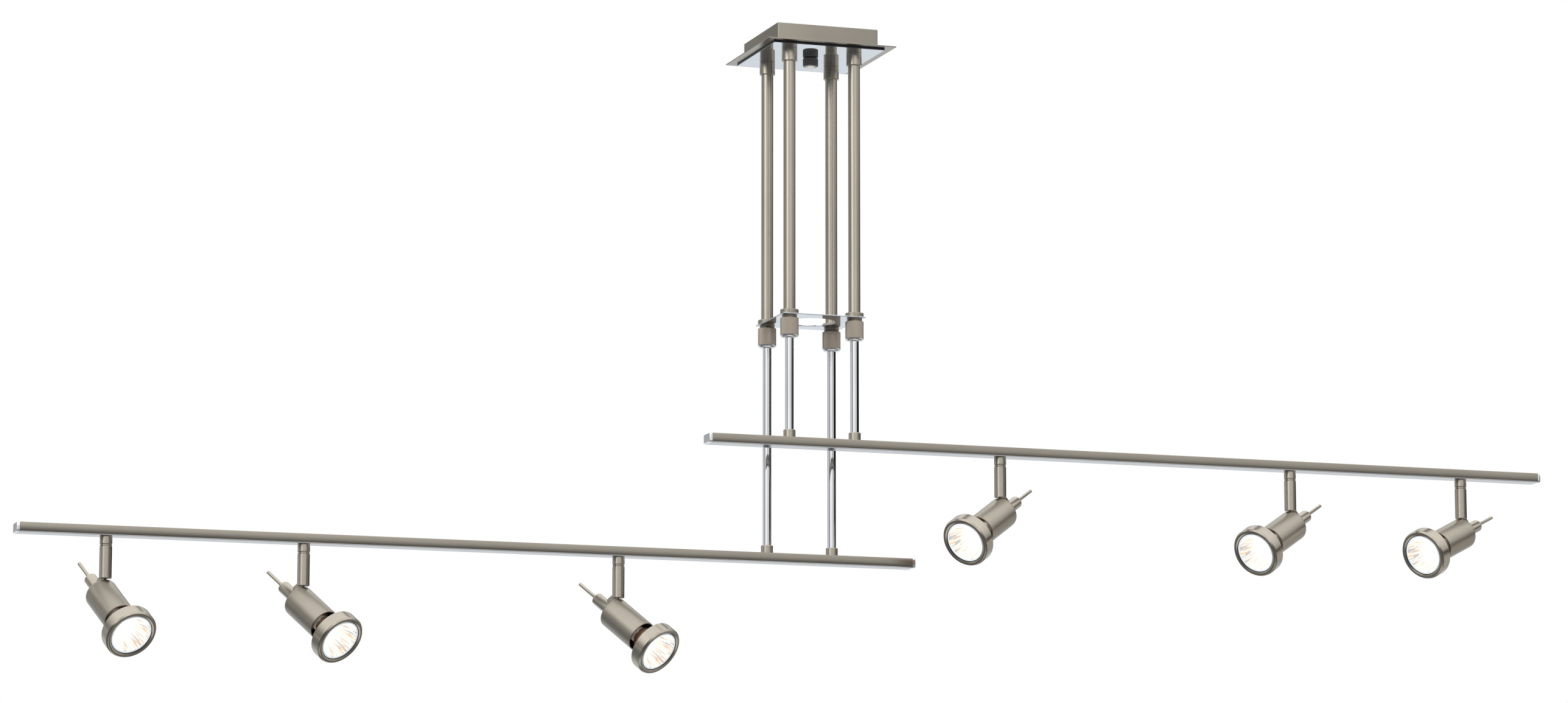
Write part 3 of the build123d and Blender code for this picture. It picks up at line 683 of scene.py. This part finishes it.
class TRACKLIGHT_OT_stage(bpy.types.Operator):
    """Sets up the floor, the soft studio light and the camera"""
    bl_idname = "tracklight.stage"
    bl_label = "Set up the studio"

    def execute(self, context):
        studio = context.scene.track_light_studio
        self.floor(studio)
        self.sky(context.scene)
        self.lamps(studio)
        self.camera(context.scene, studio)
        return {"FINISHED"}

    def floor(self, studio):
        """A wide flat floor, seen from above only, so that it never hides the fixture."""
        reach = 60.0
        mesh = bpy.data.meshes.new("floor")
        corners = np.array(((-1, -1, 0), (1, -1, 0), (1, 1, 0), (-1, 1, 0))) * reach
        mesh.from_pydata(corners - UP * studio.floor_drop, [], [(0, 1, 2, 3)])
        made, paint = material("pale_floor")
        solid = paint.add("ShaderNodeTexCoord").outputs["Object"]
        tint = paint.ramp(paint.noise(solid, 0.6), (0.3, tone(studio.floor, 0.985)[:3]),
                          (0.7, tone(studio.floor, 1.01)[:3]))
        face = paint.add("ShaderNodeBsdfPrincipled", Base_Color=tint, Roughness=0.85)
        seen = paint.add("ShaderNodeNewGeometry").outputs["Backfacing"]
        clear = paint.add("ShaderNodeBsdfTransparent")
        mixed = paint.add("ShaderNodeMixShader", i0=seen, i1=face.outputs[0], i2=clear.outputs[0])
        paint.add("ShaderNodeOutputMaterial", Surface=mixed.outputs[0])
        mesh.materials.append(made)
        floor = bpy.data.objects.new("floor", mesh)
        floor.visible_glossy = False
        bpy.context.scene.collection.objects.link(floor)

    def sky(self, scene):
        """White behind the object. What the metal reflects is a ring of tall soft panels and dark
        gaps, by bearing. It closes to a soft white overhead, a cool white just below the level,
        a dark ring further down and a light patch straight below."""
        world = bpy.data.worlds.new("studio")
        world.use_nodes = True
        scene.world = world
        paint = Paint(world.node_tree)
        look = paint.add("ShaderNodeTexCoord").outputs["Generated"]
        axes = paint.add("ShaderNodeSeparateXYZ", Vector=look)
        x, y, z = (Wire(paint, axes.outputs[k]) for k in ("X", "Y", "Z"))
        bearing = paint.sum("ARCTAN2", x, y) * (0.5 / math.pi) + 0.5
        around, ledge = (paint.ramp(bearing, *((place, (level, level, level)) for place, level in ring))
                         for ring in (ROOM, LEDGE))
        below = paint.ramp(bearing, *UNDER)
        overhead = paint.sum("MULTIPLY", z - 0.27, 2.2, clamp=True)
        room = paint.blend(overhead, around, (1.2, 1.2, 1.2, 1))
        # each layer fades in below a height, and a higher pace makes its edge harder
        for height, pace, layer in ((0.18, 60.0, ledge), (0.05, 8.0, below),
                                    (-0.47, 7.0, (0.17, 0.165, 0.16, 1)),
                                    (-0.82, 9.0, (0.85, 0.84, 0.82, 1))):
            room = paint.blend(paint.sum("MULTIPLY", height - z, pace, clamp=True), room, layer)
        path = paint.add("ShaderNodeLightPath")
        shiny = paint.blend(path.outputs["Is Glossy Ray"], (0.95, 0.95, 0.95, 1), room)
        shown = paint.blend(path.outputs["Is Camera Ray"], shiny, (1, 1, 1, 1))
        back = paint.add("ShaderNodeBackground", Color=shown, Strength=1.0)
        paint.add("ShaderNodeOutputWorld", Surface=back.outputs[0])

    def lamps(self, studio):
        """Two large soft lights, one on the viewer's left and a weaker one on the right."""
        middle = (np.array(cad_box[0]) + np.array(cad_box[1])) / 2
        for name, place, power, size in (("key", (-3.6, -3.0, 1.2), studio.key_power, 2.2),
                                         ("fill", (3.4, -2.6, 0.2), studio.fill_power, 2.6)):
            data = bpy.data.lights.new(name, "AREA")
            data.shape, data.size, data.size_y, data.energy = "RECTANGLE", size * 0.6, size, power
            light = bpy.data.objects.new(name, data)
            light.location = place
            aim = Vector(middle - np.array(place))
            light.rotation_euler = aim.to_track_quat("-Z", "Y").to_euler()
            light.visible_glossy = False
            bpy.context.scene.collection.objects.link(light)

    def camera(self, scene, studio):
        """The camera, below the fixture and looking slightly up at it."""
        data = bpy.data.cameras.new("camera")
        data.sensor_width, data.sensor_fit, data.lens = 36.0, "HORIZONTAL", studio.lens
        data.clip_end = 200.0
        camera = bpy.data.objects.new("camera", data)
        camera.location = studio.camera_place
        camera.rotation_euler = studio.camera_turn
        scene.collection.objects.link(camera)
        scene.camera = camera
        scene.view_settings.view_transform = "Standard"


class TRACKLIGHT_OT_finishes(bpy.types.Operator):
    """Mixes the finishes and gives them to the CAD pieces that stay"""
    bl_idname = "tracklight.finishes"
    bl_label = "Mix the finishes"

    def execute(self, context):
        mix_finishes(context.scene.track_light_finishes)
        kept = {"ceiling_bracket": "zinc", "canopy_fasteners": "steel", "terminal_block": "plastic",
                "clamp_collets": "nylon"}
        kept.update({f"head_{n}_lampholder": "ceramic" for n in range(1, 7)})
        for node, finish in kept.items():
            slots = frame["nodes"][node].data.materials
            slots.clear()
            slots.append(FINISH[finish])
        return {"FINISHED"}


class TRACKLIGHT_OT_canopy(bpy.types.Operator):
    """Makes the ceiling pan, the trim plate, the mirror panel and the canopy knob"""
    bl_idname = "tracklight.canopy"
    bl_label = "Make the canopy"

    def execute(self, context):
        sizes = context.scene.track_light_sizes
        seat = Seat((0, 0, 0), UP, EAST)
        sheet, dark, mirror = FINISH["sheet"], FINISH["dark_edge"], FINISH["mirror"]

        low, high = limits("canopy_pan")
        half, floor = high[0], low[2] + PAN_WALL
        profile = eased(((half, low[2]), (0, low[2]), (0, high[2]), (PAN_WALL, high[2]),
                         (PAN_WALL, floor), (half, floor)), 0.5)
        put("brushed_pan", [stacked(half, half, 1.6, profile, seat)], [sheet], "canopy",
            ["canopy_pan"])

        low, high = limits("trim_plate")
        put("brushed_trim", [plate(high[0], high[1], 0.8, low[2], high[2], seat, 0.25)], [sheet],
            "canopy", ["trim_plate"])

        # the panel's faces are mirrors; its edge is painted near black, a painted dark reflection of
        # what it mirrors
        low, high = limits("mirror_panel")
        half = high[0]
        profile = eased(((half, low[2]), (0, low[2]), (0, high[2]), (half, high[2])), 0.3)
        rows = np.where(profile[:-1, 0] + profile[1:, 0] < 0.35, 1, 0)
        put("mirror_face", [stacked(half, half, 0.6, profile, seat, rows)], [mirror, dark],
            "canopy", ["mirror_panel"])

        low, high = limits("canopy_knob")
        self.knob(low, high, sizes)
        return {"FINISHED"}

    def knob(self, low, high, sizes):
        """A cylinder whose radius is lowered by two crossed sets of ridges, so that diamonds stand
        between them, and a bright turned end."""
        r, top, end = high[0], high[2], low[2]
        teeth = sizes.knurl_teeth
        side = np.linspace(end + 0.9, top - 0.9, 44)
        outline = np.concatenate((
            eased(((end, 0), (end, r * 0.62), (end + 0.35, r * 0.66), (end + 0.35, r - 0.8),
                   (end + 0.9, r)), 0.12),
            np.stack((side[1:-1], np.full(42, r)), -1),
            eased(((top - 0.9, r), (top, r - 0.8), (top, 0)), 0.12)))

        def diamonds(along, turn):
            inside = np.clip((along - end - 1.0) * 2, 0, 1) * np.clip((top - 1.0 - along) * 2, 0, 1)
            pitch = 2 * math.pi * r / teeth
            climb = along / pitch * 2 * math.pi
            one = np.abs(np.sin((teeth * turn + climb) / 2))
            two = np.abs(np.sin((teeth * turn - climb) / 2))
            return -KNOB_RIDGE * inside * (1 - np.minimum(one, two))

        rows = np.where(outline[:-1, 1] < r * 0.64, 1, 0) * (outline[:-1, 0] < end + 0.3)
        knob = turned(outline, Seat((0, 0, 0), UP, EAST), 4 * teeth, False, diamonds, rows)
        put("knurled_knob", [knob], [FINISH["knob"], FINISH["bright"]], "knob", ["canopy_knob"])


class TRACKLIGHT_OT_stems(bpy.types.Operator):
    """Makes the stem sockets, the outer tubes, the spreader plate and the threaded bushes"""
    bl_idname = "tracklight.stems"
    bl_label = "Make the stems"

    def execute(self, context):
        sizes = context.scene.track_light_sizes
        around, edge = sizes.around, sizes.edge / MM
        seats = [upright(place) for place in STEMS]
        reach = STEMS[-1][0]

        tube_low, tube_high = limits("outer_tubes")
        tube_r = tube_high[0] - reach
        tube = eased(((tube_low[2], tube_r - TUBE_WALL), (tube_high[2], tube_r - TUBE_WALL),
                      (tube_high[2], tube_r), (tube_low[2], tube_r)), 0.2, True)
        put("stem_tubes", [lengthwise(turned(tube, seat, around, True)) for seat in seats],
            [FINISH["nickel"]], "canopy", ["outer_tubes"])

        low, high = limits("stem_sockets")
        panel = limits("mirror_panel")[0][2]
        r = high[0] - reach
        socket = eased(((panel, tube_r + 0.03), (panel, r), (low[2], r), (low[2], tube_r + 0.03)),
                       (0.05, edge, 0.6, 0.2), True)
        nipple = eased(((panel - 0.5, NIPPLE_BORE_R), (panel - 0.5, NIPPLE_R), (high[2], NIPPLE_R),
                        (high[2], NIPPLE_BORE_R)), 0.3, True)
        put("stem_socket_set", [turned(o, seat, around, True) for seat in seats
                                for o in (socket, nipple)], [FINISH["nickel"]], "canopy",
            ["stem_sockets"])

        low, high = limits("spreader_plate")
        put("polished_spreader", [pierced(high[0], 1.0, PLATE_HOLE_R, low[2], high[2],
                                          Seat((0, 0, 0), UP, EAST))],
            [FINISH["mirror"]], "canopy", ["spreader_plate"])
        self.bushes(seats, tube_r, high[2], sizes)
        return {"FINISHED"}

    def bushes(self, seats, tube_r, plate_top, sizes):
        """Flanged bushes. The thread's radius falls and rises with height less the turn's share of
        one pitch, which winds the groove into a helix."""
        low, high = limits("clamp_bushes")
        r = high[0] - STEMS[-1][0]
        start = plate_top - 1.6
        thread = np.linspace(start, start - THREAD_LONG, 70)[1:]
        seat_z = high[2] - TUBE_SEAT
        outline = np.concatenate((
            eased(((seat_z, tube_r + 0.05), (high[2], tube_r + 0.05), (high[2], r), (plate_top, r),
                   (plate_top, THREAD_R), (start, THREAD_R)), (0, 0.3, 0.5, 0.35, 0.1, 0)),
            np.stack((thread, np.full(len(thread), THREAD_R)), -1),
            np.array(((low[2], THREAD_R), (low[2], BUSH_BORE_R), (seat_z, BUSH_BORE_R)))))
        pitch = sizes.thread_pitch / MM

        def helix(along, turn):
            inside = (along < start) * (along > start - THREAD_LONG)
            wave = 0.5 - 0.5 * np.cos(2 * math.pi * along / pitch + turn)
            return -THREAD_GROOVE * inside * wave

        rows = np.where(outline[:, 0] < start + 0.1, 1, 0)
        put("flanged_bushes", [turned(outline, seat, sizes.around, True, helix, rows)
                               for seat in seats], [FINISH["satin"], FINISH["thread"]], "canopy",
            ["clamp_bushes"])


class TRACKLIGHT_OT_clamp_nuts(bpy.types.Operator):
    """Makes the four clamp nuts, whose grip has straight ridges: the radius falls off between
    them as the absolute sine of half the turn times the number of teeth"""
    bl_idname = "tracklight.clamp_nuts"
    bl_label = "Make the clamp nuts"

    def execute(self, context):
        sizes = context.scene.track_light_sizes
        for number, place in enumerate(STEMS, start=1):
            low, high = limits(f"clamp_nut_{number}")
            r = (high[0] - low[0]) / 2
            # the foot is domed: a quarter ellipse from the grip to a flat round the rod's hole
            t = np.linspace(0, math.pi / 2, 9)[:, None]
            dome = np.concatenate((low[2] + NUT_TAPER * (1 - np.sin(t)),
                                   NUT_FLAT_R + (r - NUT_FLAT_R) * np.cos(t)), 1)
            outline = eased(np.concatenate((((high[2], THREAD_R + 0.07), (high[2], r)), dome, (
                (low[2], NUT_BORE_R), (low[2] + NUT_FLOOR, NUT_BORE_R),
                (low[2] + NUT_FLOOR, THREAD_R + 0.07)))),
                (0.2, 0.7, 0.3, *[0.0] * 8, 0.2, 0.2, 0.2), True)
            grip = np.isclose(outline[:, 1:], r)
            teeth = sizes.nut_teeth
            ridges = lambda along, turn: -NUT_RIDGE * grip * (1 - np.abs(np.sin(teeth * turn / 2)))
            polished_rows = np.where(outline[:, 0] < low[2] + NUT_TAPER - 0.3, 1, 0)
            nut = turned(outline, upright(place), 4 * teeth, True, ridges, polished_rows)
            put(f"knurled_nut_{number}", [lengthwise(nut)], [FINISH["knurled"], FINISH["chrome"]],
                f"nut_{number}", [f"clamp_nut_{number}"])
        return {"FINISHED"}


class TRACKLIGHT_OT_rails(bpy.types.Operator):
    """Makes the two rails with their trims, rods and collars"""
    bl_idname = "tracklight.rails"
    bl_label = "Make the rails"

    def execute(self, context):
        for rail in ("upper", "lower"):
            self.rail(rail, context.scene.track_light_sizes)
        return {"FINISHED"}

    def rail(self, rail, sizes):
        body = f"{rail}_rail_set"
        low, high = limits(f"{rail}_rail")
        y, top, half = (low[1] + high[1]) / 2, high[2], (high[1] - low[1]) / 2
        run = Seat((0, y, top), EAST, NORTH)
        inner = half - RAIL_WALL
        # each side is slightly crowned, so that its tone shades off downwards
        rise = np.linspace(-1, 1, 9)
        crown = np.stack((half - RAIL_CROWN * rise**2, (rise - 1) * RAIL_DEEP / 2), -1)
        section = eased(np.concatenate((crown * (-1, 1), crown[::-1], (
            (inner, -RAIL_DEEP), (inner, -RAIL_WALL), (-inner, -RAIL_WALL), (-inner, -RAIL_DEEP)))),
            (0.15, *[0.0] * 7, 0.7, 0.7, *[0.0] * 7, 0.15, 0.1, 0.3, 0.3, 0.1), True)
        put(f"{rail}_channel", [drawn(section, low[0], high[0], run)], [FINISH["sheet"]], body,
            [f"{rail}_rail"])

        # strip below the channel, and a cap over each end
        base = -RAIL_DEEP - STRIP_T
        # a groove along each edge parts the strip from the channel
        neck = half - 0.7
        strip = eased(((-neck, -RAIL_DEEP - 0.02), (neck, -RAIL_DEEP - 0.02), (neck, -RAIL_DEEP - 0.4),
                       (half, -RAIL_DEEP - 0.5), (half, base), (-half, base),
                       (-half, -RAIL_DEEP - 0.5), (-neck, -RAIL_DEEP - 0.4)),
                      (0.05, 0.05, 0.05, 0.1, 0.5, 0.5, 0.1, 0.05), True)
        skins = [drawn(strip, low[0] + 0.05, high[0] - 0.05, run)]
        for edge, way in ((low[0], -1), (high[0], 1)):
            deep = -base / 2
            profile = eased(((deep, 0), (0, 0), (0, CAP_T), (deep, CAP_T)), (0, 0.05, 1.6, 0))
            skins.append(stacked(half, deep, 1.7, profile,
                                 Seat((edge, y, top - deep), EAST * way, NORTH), 1))
        put(f"{rail}_bright_trim", skins, [FINISH["strip"], FINISH["chrome"]], body,
            [f"{rail}_rail_trim"])

        rods = [place for place in STEMS if abs(place[1] - y) < 1]
        rod_low, rod_high = limits(f"{rail}_rods")
        r = rod_high[0] - STEMS[-1][0]
        rod = eased(((rod_low[2], r - ROD_WALL), (rod_high[2], r - ROD_WALL), (rod_high[2], r),
                     (rod_low[2], r)), 0.2, True)
        put(f"{rail}_rod_pair", [turned(rod, upright(p), sizes.around, True) for p in rods],
            [FINISH["chrome"]], body, [f"{rail}_rods"])

        edge = sizes.edge / MM
        collar_high = limits(f"{rail}_rail_collars")[1][2]
        ferrule = eased(((top, r + 0.02), (top, STEM_R), (collar_high, STEM_R),
                         (collar_high, r + 0.02)), (0.05, 0.1, 0.6, 0.1), True)
        collar = eased(((top + base, COLLAR_BORE_R), (top + base, STEM_R),
                        (top - COLLAR_END, STEM_R), (top - COLLAR_END, COLLAR_BORE_R)),
                       (0.05, 0.1, edge, 0.1), True)
        heads = [np.array(JOINTS[name]["pos_m"]) / MM for name in JOINTS
                 if name.endswith("_swivel") and JOINTS[name]["parent"] == body]
        put(f"{rail}_turned_collars",
            [turned(ferrule, upright(p), sizes.around, True) for p in rods]
            + [turned(collar, upright(p), sizes.around, True) for p in heads],
            [FINISH["nickel"]], body, [f"{rail}_rail_collars"])


class TRACKLIGHT_OT_heads(bpy.types.Operator):
    """Makes the six spot heads: stem, tail, shell, lamp and bezel"""
    bl_idname = "tracklight.heads"
    bl_label = "Make the spot heads"

    def execute(self, context):
        sizes = context.scene.track_light_sizes
        for number in range(1, 7):
            tilt = JOINTS[f"head_{number}_tilt"]
            pin = np.array(tilt["pos_m"]) / MM
            across = -np.array(tilt["axis"])
            level = np.cross(UP, across)
            dip = math.radians(LOWEST_DIP - tilt["range_deg"][0])
            forward = math.cos(dip) * level - math.sin(dip) * UP
            upward = math.sin(dip) * level + math.cos(dip) * UP
            foot = pin - upward * DROP
            axis = Seat(foot, forward, upward)
            flat = Seat(foot, across, forward)
            self.stem(number, pin, level, across, sizes)
            self.tail(number, axis, flat, sizes)
            self.shell(number, axis, sizes)
            self.bezel(number, axis, sizes)
            self.lamp(number, axis, sizes)
        return {"FINISHED"}

    def stem(self, number, pin, level, across, sizes):
        """A turned post with a spacer ring at its top, and below it two ears with flat inner
        faces: each ear's outline is the part of the post's circle beyond half the slot."""
        around, edge = sizes.around, sizes.edge / MM
        rail = limits(f"{'lower' if number < 4 else 'upper'}_rail")[1][2]
        top = rail - COLLAR_END
        post = eased(((top + 3, 0), (top + 3, COLLAR_BORE_R), (top - 0.4, COLLAR_BORE_R),
                      (top - 0.4, SPACER_R), (top - 1.9, SPACER_R), (top - 1.9, GROOVE_R),
                      (top - 2.4, GROOVE_R), (top - 2.4, STEM_R),
                      (pin[2] + SLOT_UP, STEM_R), (pin[2] + SLOT_UP, 0)),
                     (0, 0.1, 0.1, 0.25, 0.25, 0.1, 0.1, edge, 0.02, 0))
        skins = [turned(post, Seat((pin[0], pin[1], 0), UP, level), around)]
        foot_seat = Seat(pin, UP, level)
        half = SLOT_T / 2
        open_by = math.acos(half / STEM_R)
        for way in (1, -1):
            t = np.linspace(-open_by, open_by, 33)
            # points go round the ear: x level, y across
            arc = np.stack((STEM_R * np.sin(t), way * STEM_R * np.cos(t)), -1)
            outline = np.concatenate((arc, arc[::-1] * (1, 0) * 0.985 + (0, way * half)))
            skins.append(self.ear(outline, -HINGE_UP, SLOT_UP + 0.05, foot_seat))
        # the slot is open only as far as the tongue swings: above that its ends are closed
        side_by = math.asin(half / STEM_R)
        for way, foot in ((1, 0.4 - HINGE_UP), (-1, 4.2)):
            t = np.linspace(-side_by, side_by, 9) * 0.98
            curve = np.stack((way * np.cos(t), way * np.sin(t)), -1) * (STEM_R - 0.04)
            cheek = np.concatenate((curve, curve[::-1] * (0, 1) + (way * 4.8, 0)))
            skins.append(drawn(cheek, foot, SLOT_UP + 0.04, foot_seat))
        rivet = eased(((-STEM_R + 0.1, 0), (-STEM_R + 0.25, PIN_R), (STEM_R - 0.25, PIN_R),
                       (STEM_R - 0.1, 0)), (0, 0.3, 0.3, 0))
        skins.append(turned(rivet, Seat(pin, across, UP), 32, finish=1))
        put(f"spot_{number}_stem", skins, [FINISH["nickel"], FINISH["bright"]], f"stem_{number}",
            [f"head_{number}_stem"])

    def ear(self, outline, low, high, seat):
        """A closed outline drawn upward from a softened foot: close to the foot the outline
        shrinks towards its middle along a quarter circle."""
        t = np.linspace(0, math.pi / 2, 5)
        soft = 0.7
        height = np.concatenate((low + soft * (1 - np.sin(t[::-1])), (low + soft + 0.2, high - 0.1,
                                                                      high)))
        shrink = np.where(height < low + soft, 1 - (1 - np.sqrt(np.clip(
            1 - ((low + soft - height) / soft) ** 2, 0, 1))) * 0.12, 1.0)
        middle = outline.mean(0)
        ring = middle + (outline - middle) * shrink[:, None, None]
        grid = (seat.origin + ring[..., :1] * seat.start + ring[..., 1:] * seat.side
                + height[:, None, None] * seat.axis)
        return Skin(grid, run_length(outline, True), height, False, True)

    def tail(self, number, axis, flat, sizes):
        """Handle and neck turned in one, and the flat tongue up to the tilt pin."""
        outline = eased(((HANDLE_BACK, 0), (HANDLE_BACK, HANDLE_R), (NECK_BACK, HANDLE_R),
                         (NECK_BACK, NECK_R), (SHELL_BACK + 1, NECK_R), (SHELL_BACK + 1, 0)),
                        (0, 0.8, 0.3, 0.9, 0.02, 0))
        eye = np.linspace(math.radians(10), math.radians(170), 22)
        arch = np.stack((4.2 * np.cos(eye), DROP + 4.2 * np.sin(eye)), -1)
        foot = eased(((-4.1, DROP - 0.4), (-9.0, 9.0), (-9.0, 4.0), (2.0, 4.0), (2.0, 9.5),
                      (4.1, DROP - 0.4)), (0, 2.5, 0.3, 0.3, 2.5, 0))
        tongue = cut_plate(np.concatenate((arch, foot)), TONGUE_T, flat, 0.3)
        put(f"spot_{number}_tail", [turned(outline, axis, sizes.around), tongue],
            [FINISH["nickel"]], f"head_{number}", [f"head_{number}_tail"])

    def shell(self, number, axis, sizes):
        """An open-mouthed cup, brushed outside, with a black lining inside."""
        inside = SHELL_R - SHELL_WALL
        outline = eased(((SHELL_BACK, NECK_R - 0.4), (SHELL_BACK, SHELL_R), (SHELL_FRONT, SHELL_R),
                         (SHELL_FRONT, inside), (SHELL_BACK + 2, inside),
                         (SHELL_BACK + 2, NECK_R - 0.4)), (0.05, 3.0, 0.35, 0.35, 1.7, 0.05), True, 8)
        black_rows = np.where((outline[:, 1] < inside + 0.05) & (outline[:, 0] > SHELL_BACK + 1.9), 1, 0)
        put(f"spot_{number}_shell", [turned(outline, axis, sizes.around, True, None, black_rows)],
            [FINISH["satin"], FINISH["black"]], f"head_{number}", [f"head_{number}_shell"])

    def bezel(self, number, axis, sizes):
        """A ring with a bevelled front lip, black inside the lip as a painted shadow gap, and three
        bent spring clips.
        """
        inside, rim = BEZEL_R - BEZEL_WALL, LAMP_FRONT - LAMP_RIM
        outline = eased(((BEZEL_BACK, inside), (BEZEL_BACK, BEZEL_R), (BEZEL_FRONT - 2.2, BEZEL_R),
                         (BEZEL_FRONT, BEZEL_R - 1.5), (BEZEL_FRONT, BEVEL_R),
                         (BEZEL_FRONT - 0.9, LIP_R),
                         (LAMP_FRONT + 0.3, LIP_R), (LAMP_FRONT + 0.15, SHADE_R),
                         (LAMP_FRONT + 0.05, SHADE_R), (LAMP_FRONT + 0.05, LAMP_R + 0.2),
                         (rim + 0.2, LAMP_R + 0.2), (rim + 0.2, inside)),
                        (0.2, 0.4, 0.9, 0.7, 0.25, 0.1, 0.05, 0.03, 0.03, 0.1, 0.1, 0.3), True)
        # rows inside the lip are painted black: a painted shadow gap round the lamp
        black_rows = np.where(outline[:, 1] < LIP_R + 0.15, 2, 0)
        skins = [turned(outline, axis, sizes.around, True, None, black_rows)]
        for turn in (30, 150, 270):
            clip = axis.turned_by(turn)
            leaf = Seat(clip.origin + clip.start * (inside - 0.6), clip.axis, clip.side)
            skins.append(plate(2.9, 0.5, 0.4, BEZEL_BACK - 1.2, rim - 0.6, leaf, 0.2, 1))
            inner = (inside - 0.1 + 24.4) / 2
            tab = Seat(clip.origin + clip.start * inner, clip.axis, clip.side)
            skins.append(plate(3.0, (inside - 0.1 - 24.4) / 2, 0.4, rim - 1.1, rim - 0.2, tab, 0.2, 1))
        put(f"spot_{number}_bezel", skins, [FINISH["nickel"], FINISH["chrome"], FINISH["black"]],
            f"head_{number}", [f"head_{number}_bezel"])

    def lamp(self, number, axis, sizes):
        """The reflector lamp. The cup's radius grows as the square root of the distance from its
        focus side, like a paraboloid, and the lit inside has shallow facets in rings."""
        rim_back = LAMP_FRONT - LAMP_RIM
        deep = rim_back - LAMP_NECK_FRONT
        s = np.linspace(0, 1, 26)
        widens = lambda throat, mouth: np.sqrt(throat**2 + (mouth**2 - throat**2) * s)
        cup = np.stack((LAMP_NECK_FRONT + deep * s, widens(CUP_THROAT_R, CUP_R)), -1)
        outer = np.concatenate((
            ((LAMP_NECK_FRONT, 0), (LAMP_NECK_FRONT, LAMP_NECK_R)), cup,
            eased(((rim_back, 23.9), (rim_back, LAMP_R), (LAMP_FRONT, LAMP_R),
                   (LAMP_FRONT, 23.5)), (0, 0.5, 0.7, 0))))
        bowl_back = LAMP_NECK_FRONT + BOWL_WALL
        bowl = np.stack((bowl_back + (deep + 0.3) * s, widens(BOWL_THROAT_R, BOWL_R)), -1)
        outline = np.concatenate((outer, bowl[::-1], ((bowl_back, 0),)))
        row = np.arange(len(outline))[:, None]
        facets, rings = sizes.facets, 7

        def dimples(along, turn):
            place = (along - LAMP_NECK_FRONT - BOWL_WALL) / (deep + 0.3)
            crossed = np.abs(np.cos(facets * turn / 2)) * np.abs(np.sin(rings * math.pi * place))
            return FACET_DEEP * crossed * (row >= len(outer))

        # slot of each row: coated back, then the bright rim's last corners, then the lit inside
        slots = np.zeros(len(outline) - 1, int)
        slots[len(outer) - 12:] = 2
        slots[len(outer):] = 1
        glass = turned(outline, axis, 144, False, dimples, slots)
        # on the lit rows the UV gives the turn, and goes 0 to 1 from the burner to the rim
        lit = glass.slots == 1
        glass.uv[lit, :, 0] /= outline[:, 1].max()
        reach = glass.uv[lit, :, 1]
        glass.uv[lit, :, 1] = (reach.max() - reach) / (reach.max() - reach.min())
        neck = stacked(LAMP_NECK_R, 7.5, 3.0, eased(((7.5, LAMP_NECK_BACK), (0, LAMP_NECK_BACK),
                                              (0, LAMP_NECK_FRONT + 1), (7.5, LAMP_NECK_FRONT + 1)),
                                             (0, 1.2, 0.1, 0)), axis.turned_by(90), 3)
        capsule = eased(((LAMP_NECK_FRONT + 2, 0), (LAMP_NECK_FRONT + 2, CAPSULE_R),
                         (75, CAPSULE_R), (79, 1.2), (79.4, 0)), (0, 0.3, 1.8, 0.6, 0), steps=6)
        pins = []
        for way in (-5.0, 5.0):
            seat = Seat(axis.origin + way * axis.side, axis.axis, axis.start)
            pins.append(turned(eased(((LAMP_PIN_BACK, 0), (LAMP_PIN_BACK, 2.4),
                                      (LAMP_PIN_BACK + 2, 2.4), (LAMP_PIN_BACK + 2, 1.6),
                                      (LAMP_NECK_BACK + 0.5, 1.6), (LAMP_NECK_BACK + 0.5, 0)),
                                     (0, 0.3, 0.3, 0.1, 0.1, 0)), seat, 24, finish=5))
        put(f"spot_{number}_lamp", [glass, neck, turned(capsule, axis, 32, finish=4), *pins],
            [FINISH["coated"], FINISH["lit"], FINISH["rim"], FINISH["ceramic"], FINISH["burner"],
             FINISH["bright"]], f"head_{number}", [f"head_{number}_lamp"])
        pane = turned(eased(((LAMP_FRONT - 1.9, 0), (LAMP_FRONT - 1.9, PANE_R),
                             (LAMP_FRONT - 0.6, PANE_R), (LAMP_FRONT - 0.3, 0)), (0, 0.3, 0.3, 0)),
                      axis, sizes.around)
        put(f"spot_{number}_front_glass", [pane], [FINISH["glass"]], f"head_{number}", ())


class TRACKLIGHT_PT_panel(bpy.types.Panel):
    """Lists the builders and their settings"""
    bl_idname = "TRACKLIGHT_PT_panel"
    bl_label = "Track Light"
    bl_space_type = "VIEW_3D"
    bl_region_type = "UI"
    bl_category = "Track Light"

    def draw(self, context):
        for step in STEPS:
            self.layout.operator(step.bl_idname)
        for group in (context.scene.track_light_sizes, context.scene.track_light_finishes,
                      context.scene.track_light_studio):
            box = self.layout.box()
            for key in group.__annotations__:
                box.prop(group, key)


STEPS = (TRACKLIGHT_OT_stage, TRACKLIGHT_OT_finishes, TRACKLIGHT_OT_canopy, TRACKLIGHT_OT_stems,
         TRACKLIGHT_OT_clamp_nuts, TRACKLIGHT_OT_rails, TRACKLIGHT_OT_heads)
GROUPS = {"track_light_sizes": TrackLightSizes, "track_light_finishes": TrackLightFinishes,
          "track_light_studio": TrackLightStudio}


def register():
    """Registers the classes and gives the scene its groups of settings."""
    for made in (*GROUPS.values(), *STEPS, TRACKLIGHT_PT_panel):
        bpy.utils.register_class(made)
    for key, group in GROUPS.items():
        setattr(bpy.types.Scene, key, PointerProperty(type=group))


def unregister():
    """Takes back what register added."""
    for key in GROUPS:
        delattr(bpy.types.Scene, key)
    for made in reversed((*GROUPS.values(), *STEPS, TRACKLIGHT_PT_panel)):
        bpy.utils.unregister_class(made)


def main():
    """Registers the add-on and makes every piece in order."""
    register()
    for step in STEPS:
        area, name = step.bl_idname.split(".")
        getattr(getattr(bpy.ops, area), name)()
    bpy.context.view_layer.update()


if __name__ == "__main__":
    main()
